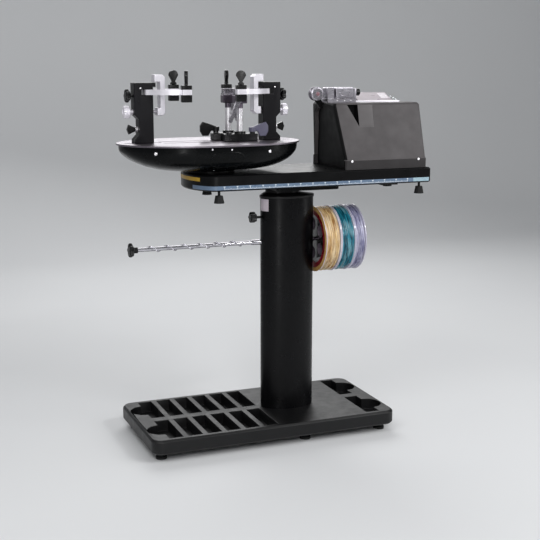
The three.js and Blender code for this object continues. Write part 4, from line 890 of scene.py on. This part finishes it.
mountSettings = {
    "x": -151, "shift": {"left": 0, "right": -11}, "armLow": 1053.6, "armHigh": 1068.6, "skin": 0.2,
    "lock": (222, 4.2, 9.2), "screw": (213, -22, 1073, 2.6, 1.4),
    "seam": ((177, -22.35, 1036.2), (229, -21.9, 1037.0)),
    "spindle": {
        "z": 1005, "start": 144.5, "thread": (146, 231, 0.8), "root": 4.4, "crest": 5,
        "knob": ((7, 231.8), (7, 241.8), (15.5, 241.8), (18, 244.3), (18, 257.1), (15.5, 259.6),
                 (9, 259.6), (8, 258.1), (onAxis, 258.1)),
        "knurls": 16, "deep": 0.08, "flat": 0.4, "rimRows": (6, 5), "sides": 128,
    },
}


def mountMiddle(hand):
    return mountSettings["x"] + hands[hand] * mountSettings["shift"][hand]


def armLook(x, y, z, normal):
    # the holder sticks out above and below the bar, in black
    s = mountSettings
    return 0 if s["armLow"] - s["skin"] < z < s["armHigh"] + s["skin"] else 1


def makeArms():
    cuts = [((0, 0, mountSettings[end]), (0, 0, 1)) for end in ("armLow", "armHigh")]
    for hand in hands:
        for end in ("front", "back"):
            arm, knob = f"arm_{end}_{hand}", f"hold_down_knob_{end}_{hand}"
            bevelledCopy(arm, arm, ("silver", "knob"), 0.8, armLook, cuts, angle=35)
            bevelledCopy(knob, f"hold_down_{end}_{hand}", "knob", 1.6, segments=3)


def makeSpindles():
    # a thread of small ridges, the neck, and the knurled head
    s = mountSettings["spindle"]
    ridges = [(s["crest"] if i % 2 else s["root"], x) for i, x in enumerate(np.arange(*s["thread"]))]
    profile = [(onAxis, s["start"]), (s["root"], s["start"]), *ridges, *s["knob"]]
    first, last = [len(profile) - row for row in s["rimRows"]]

    def share(angle, row):
        wave = 0.5 - 0.5 * np.sign(np.cos(s["knurls"] * angle) + s["flat"])
        return 1 - s["deep"] * wave * ((row >= first) & (row <= last))
    for hand, side in hands.items():
        placed = [(r, mountMiddle(hand) + side * x) for r, x in profile]
        grid = turnedGrid(placed, "X", (0, 0, s["z"]), s["sides"], share)
        newPiece(f"spindle_{hand}_threaded", surface(grid), "silver", f"spindle_{hand}",
                 (f"spindle_knob_{hand}",), sharp=25)


def makeTower(hand, side):
    middle, mount = mountMiddle(hand), f"mount_{hand}"
    out, half, deep = mountSettings["lock"]

    def lockLook(x, y, z, normal):
        return 1 if abs(abs(x - middle) - out) < half and abs(y) < deep else 0
    bevelledCopy(f"tower_{hand}", mount, "tower", 1.2)
    bevelledCopy(f"centre_support_{hand}", f"support_{hand}", "silver", 1.4, segments=3)
    bevelledCopy(f"lock_knob_{hand}", f"mount_lock_{hand}", ("knob", "post"), 1.6,
                 lockLook, segments=3)
    x, y, z, radius, rise = mountSettings["screw"]
    domeScrew(f"tower_screw_{hand}", (middle + side * x, y, z), (0, -1, 0), radius, rise, mount)
    (near, front, low), (far, back, high) = mountSettings["seam"]
    left, right = sorted((middle + side * near, middle + side * far))
    newPiece(f"tower_seam_{hand}", slab((left, front, low), (right, back, high)), "collar", mount)


makeArms()
makeSpindles()
for hand, side in hands.items():
    makeTower(hand, side)
print("racket mounts made")


# String clamps

clampSettings = {"postTop": 1012, "jawsFrom": 1050.5}


def clampHeadLook(x, y, z, normal):
    # a bright post, a dark body and bright jaws
    s = clampSettings
    if z < s["postTop"]:
        return 0
    return 2 if z > s["jawsFrom"] else 1


def makeClamps():
    cuts = [((0, 0, clampSettings["postTop"]), (0, 0, 1))]
    looks = ("post", "gunmetal", "handle")
    for end, lever, slot in (("front", "lever", "lever_grey"), ("back", "knob", "knob_black")):
        bevelledCopy(f"clamp_base_{end}", f"clamp_foot_{end}", "knob", 1.6)
        bevelledCopy(f"clamp_lever_{end}", f"clamp_lock_{end}", lever, 2.4, segments=3)
        bevelledCopy(f"clamp_head_{end}", f"clamp_{end}", looks, 0.7, clampHeadLook, cuts)
        bevelledCopy(f"clamp_handle_{end}", f"clamp_grip_{end}", "handle", 1.2, segments=3)


makeClamps()
print("string clamps made")


# Tension head

headSettings = {
    "front": -125, "headFront": -85, "shoulder": 855, "deck": 1023.2, "endX": 270,
    "bracket": {"right": 226.2, "front": 13, "edge": 2, "drop": 20},
    "notch": (255, 297.4, 950, 1019.5), "notchDepth": 4, "insetRight": 348.2, "insetDepth": 1.5,
    "ledge": 1.5, "skirtGap": 1, "screws": ((262, 851), (490, 851)), "screw": (4.2, 2.2),
    "faces": 0.5, "endFaces": 0.3,
    "roller": {
        "place": (196, 0, 1050), "segments": 64, "round": 1.0,
        "half": ((5.4, -13), (18.5, -13), (21, -11.5), (21, -9), (15, -2)),
        "ring": ((8, -13), (15.5, -13), (15.5, -13.35), (8, -13.35), (8, -13)), "ringSegments": 48,
        "seal": ((onAxis, -13.8), (3.2, -13.8), (3.2, -13.4), (6.0, -13.4), (6.0, -12.9),
                 (onAxis, -12.9)),
        "sealPlace": (196, -2.6, 1050), "sealSegments": 40, "sealRound": 0.2,
    },
    "jaw": {"x": 282, "z": 1052, "wide": 17, "high": 9, "y": -24.1, "points": 48, "radius": 0.9,
            "sides": 8},
    "carriage": {"screws": (258, 282, 304), "y": -23, "z": 1029, "screw": (2.7, 1.6)},
    "pressure": {
        "place": (0, 0, 1054), "segments": 96, "round": 0.6, "ribs": 24, "ribHigh": 0.04,
        "ribRows": (12, 24), "square": True,
        "profile": ((onAxis, 317), (4, 317), (4, 323), (5, 323), (5, 328), (9.4, 328), (11, 330),
                    (11, 341.5), (9.4, 343), (onAxis, 343)),
    },
    "display": {"x": (444, 472), "front": (44.25, 1032.3), "back": (76.05, 1046.7), "sunk": 0.3,
                "proud": 0.7},
}


def housingLook(x, y, z, normal):
    # the bracket is dark, the left end and the notch are painted shade, the top of the ledge is a
    # painted highlight, the skirt is darker and the inset paler than the wall
    s, bracket = headSettings, headSettings["bracket"]
    behind = y > bracket["front"]
    if z > s["deck"]:
        return 1 if x < bracket["right"] and behind else 2
    left, right, low, high = s["notch"]
    lean = (z - s["shoulder"]) / (s["deck"] - s["shoulder"])
    wall = s["front"] + (s["headFront"] - s["front"]) * lean
    if low < z < high and wall + s["insetDepth"] < y < 0:
        # the notch's inner faces get painted shade in black
        if left < x < right and y > wall + s["notchDepth"]:
            return 1
        if right < x < s["insetRight"] and normal.y < -s["faces"]:
            return 4
    # the top of the ledge gets a painted highlight in the paler inset tone
    if abs(z - s["shoulder"]) < s["ledge"] and normal.z > s["faces"]:
        return 4
    if z < s["shoulder"] - s["skirtGap"] and normal.y < -s["faces"]:
        return 3
    # the left end's faces get painted shade in black
    if normal.x < -s["endFaces"] and x < s["endX"]:
        return 1
    low = s["deck"] - bracket["drop"]
    return 1 if x < bracket["right"] - bracket["edge"] and behind and z > low else 0


def makeHousing():
    s = headSettings
    looks = ("housing", "recess", "silver", "skirt", "inset")
    bevelledCopy("tension_housing", "head", looks, 2.2, housingLook, segments=3,
                 angle=20, sharp=50)
    for i, (x, z) in enumerate(s["screws"], 1):
        domeScrew(f"housing_screw_{i}", (x, s["front"], z), (0, -1, 0), *s["screw"], "head")


def makeRoller():
    s = headSettings["roller"]
    groove = list(s["half"]) + [(radius, -y) for radius, y in reversed(s["half"])]
    turnedPiece("roller_grooved", groove, "Y", s["place"], s["segments"], s["round"], "cast", "roller",
                ("tension_roller",))
    face = turnedGrid(s["ring"], "Y", s["place"], s["ringSegments"])
    newPiece("roller_face", surface(face, caps=False), "handle", "roller")
    turnedPiece("roller_seal", s["seal"], "Y", s["sealPlace"], s["sealSegments"], s["sealRound"],
                "rose", "head")


def makeGripper():
    bevelledCopy("gripper_carriage", "gripper", "cast", 1.2, segments=3)
    bevelledCopy("gripper_jaw", "jaw", "cast", 1.4, segments=3)
    # the raised rim of an oval dish in the jaw's front face: x = x0 + a cos u, z = z0 + b sin u
    s = headSettings["jaw"]
    angle = np.linspace(0, 2 * np.pi, s["points"], endpoint=False)
    x, z = s["x"] + s["wide"] * np.cos(angle), s["z"] + s["high"] * np.sin(angle)
    rim = np.stack([x, np.full(s["points"], s["y"]), z], axis=-1)
    tube = tubeGrid(np.concatenate([rim, rim[:2]]), s["radius"], s["sides"], sideways)
    newPiece("jaw_rim", surface(tube), "handle", "jaw")
    s = headSettings["carriage"]
    for i, x in enumerate(s["screws"], 1):
        domeScrew(f"carriage_screw_{i}", (x, s["y"], s["z"]), (0, -1, 0), *s["screw"], "gripper")


def makePanel():
    bevelledCopy("control_panel", "head", "panel", 1.0, segments=3, angle=12)
    # the display stands square to the panel's sloping face
    s = headSettings["display"]
    (left, right), (y, z), (farY, farZ) = s["x"], s["front"], s["back"]
    corners = np.array([(left, y, z), (right, y, z), (right, farY, farZ), (left, farY, farZ)])
    lift = np.array([0, z - farZ, farY - y]) / math.hypot(farY - y, farZ - z)
    grid = np.stack([corners - lift * s["sunk"], corners + lift * s["proud"]])
    newPiece("panel_display", surface(grid), "key", "head")
    bevelledCopy("panel_guard", "head", "clear", 0.8)


makeHousing()
makeRoller()
makeGripper()
ribbedKnob("pressure_knob", "pressure_dial", "X", headSettings["pressure"])
makePanel()
print("tension head made")


# Floor, backdrop and light: a softbox is its place, size and power, a strip light also has its own aim

studioSettings = {
    "paper": ("#d9dadb", "#d3d4d6"), "paperRoughness": 0.85, "paperTone": 900,
    "half": 9.0, "far": 4.5, "bend": 1.5, "high": 5.0, "bendSteps": 16, "columns": 5,
    "aim": (0, 0, 0.7),
    "lamps": (
        ((-1.0, -3.1, 1.9), 0.8, 37), ((2.6, -2.2, 2.4), 2.0, 38), ((-2.2, -1.6, 3.2), 2.0, 35),
        ((0.7, 2.6, 2.5), 2.4, 54),
    ),
    "strips": (
        ((-1.28, -3.3, 0.36), (0, 0, 0.5), 0.12, 0.66, 6),
        ((2.6, -1.25, 0.8), (0, 0, 0.6), 0.25, 1.4, 5),
        ((1.6, -2.4, 2.6), (0.2, 0, 0.6), 0.9, 0.1, 24),
    ),
    "sky": "#e6e8ea", "skyStrength": 0.36,
}


def makeStage():
    # the floor runs up into the backdrop over a quarter circle
    s = studioSettings
    far, bend = s["far"], s["bend"]
    angle = np.linspace(0, np.pi / 2, s["bendSteps"])
    arc = np.stack([far - bend + bend * np.sin(angle), bend - bend * np.cos(angle)], axis=-1)
    side = np.concatenate([[[-s["half"], 0.0]], arc, [[far, s["high"]]]])
    across = np.linspace(-s["half"], s["half"], s["columns"])
    rows = [np.stack([np.full(len(side), x), side[:, 0], side[:, 1]], axis=-1) for x in across]
    grid = np.stack(rows)
    mesh = bpy.data.meshes.new("studio_floor")
    mesh.from_pydata([tuple(v) for v in grid.reshape(-1, 3).tolist()], [], gridFaces(*grid.shape[:2]))
    mesh.shade_smooth()
    floor = bpy.data.objects.new("studio_floor", mesh)
    bpy.context.scene.collection.objects.link(floor)
    material, tree = newMaterial("matt studio paper", s["paperRoughness"])
    colour = mixed(tree, noiseOf(tree, objectPoints(tree), s["paperTone"], 2), *s["paper"])
    mesh.materials.append(wired(material, colour))


def addLamp(name, place, aim, wide, high, power):
    data = bpy.data.lights.new(name, "AREA")
    data.shape = "RECTANGLE"
    data.size, data.size_y = wide, high
    data.energy = power
    lamp = bpy.data.objects.new(name, data)
    lamp.location = place
    lamp.rotation_euler = (Vector(aim) - Vector(place)).to_track_quat("-Z", "Y").to_euler()
    bpy.context.scene.collection.objects.link(lamp)


def makeLight():
    s = studioSettings
    for i, (place, size, power) in enumerate(s["lamps"], 1):
        addLamp(f"softbox {i}", place, s["aim"], size, size, power)
    # narrow strips draw the upright highlights of the column and the band across the reels
    for i, strip in enumerate(s["strips"], 1):
        addLamp(f"strip light {i}", *strip)
    world = bpy.data.worlds.new("soft studio")
    world.use_nodes = True
    background = world.node_tree.nodes["Background"]
    background.inputs["Color"].default_value = linearColour(s["sky"])
    background.inputs["Strength"].default_value = s["skyStrength"]
    bpy.context.scene.world = world
    bpy.context.scene.view_settings.view_transform = "Standard"


makeStage()
makeLight()
print("studio made")
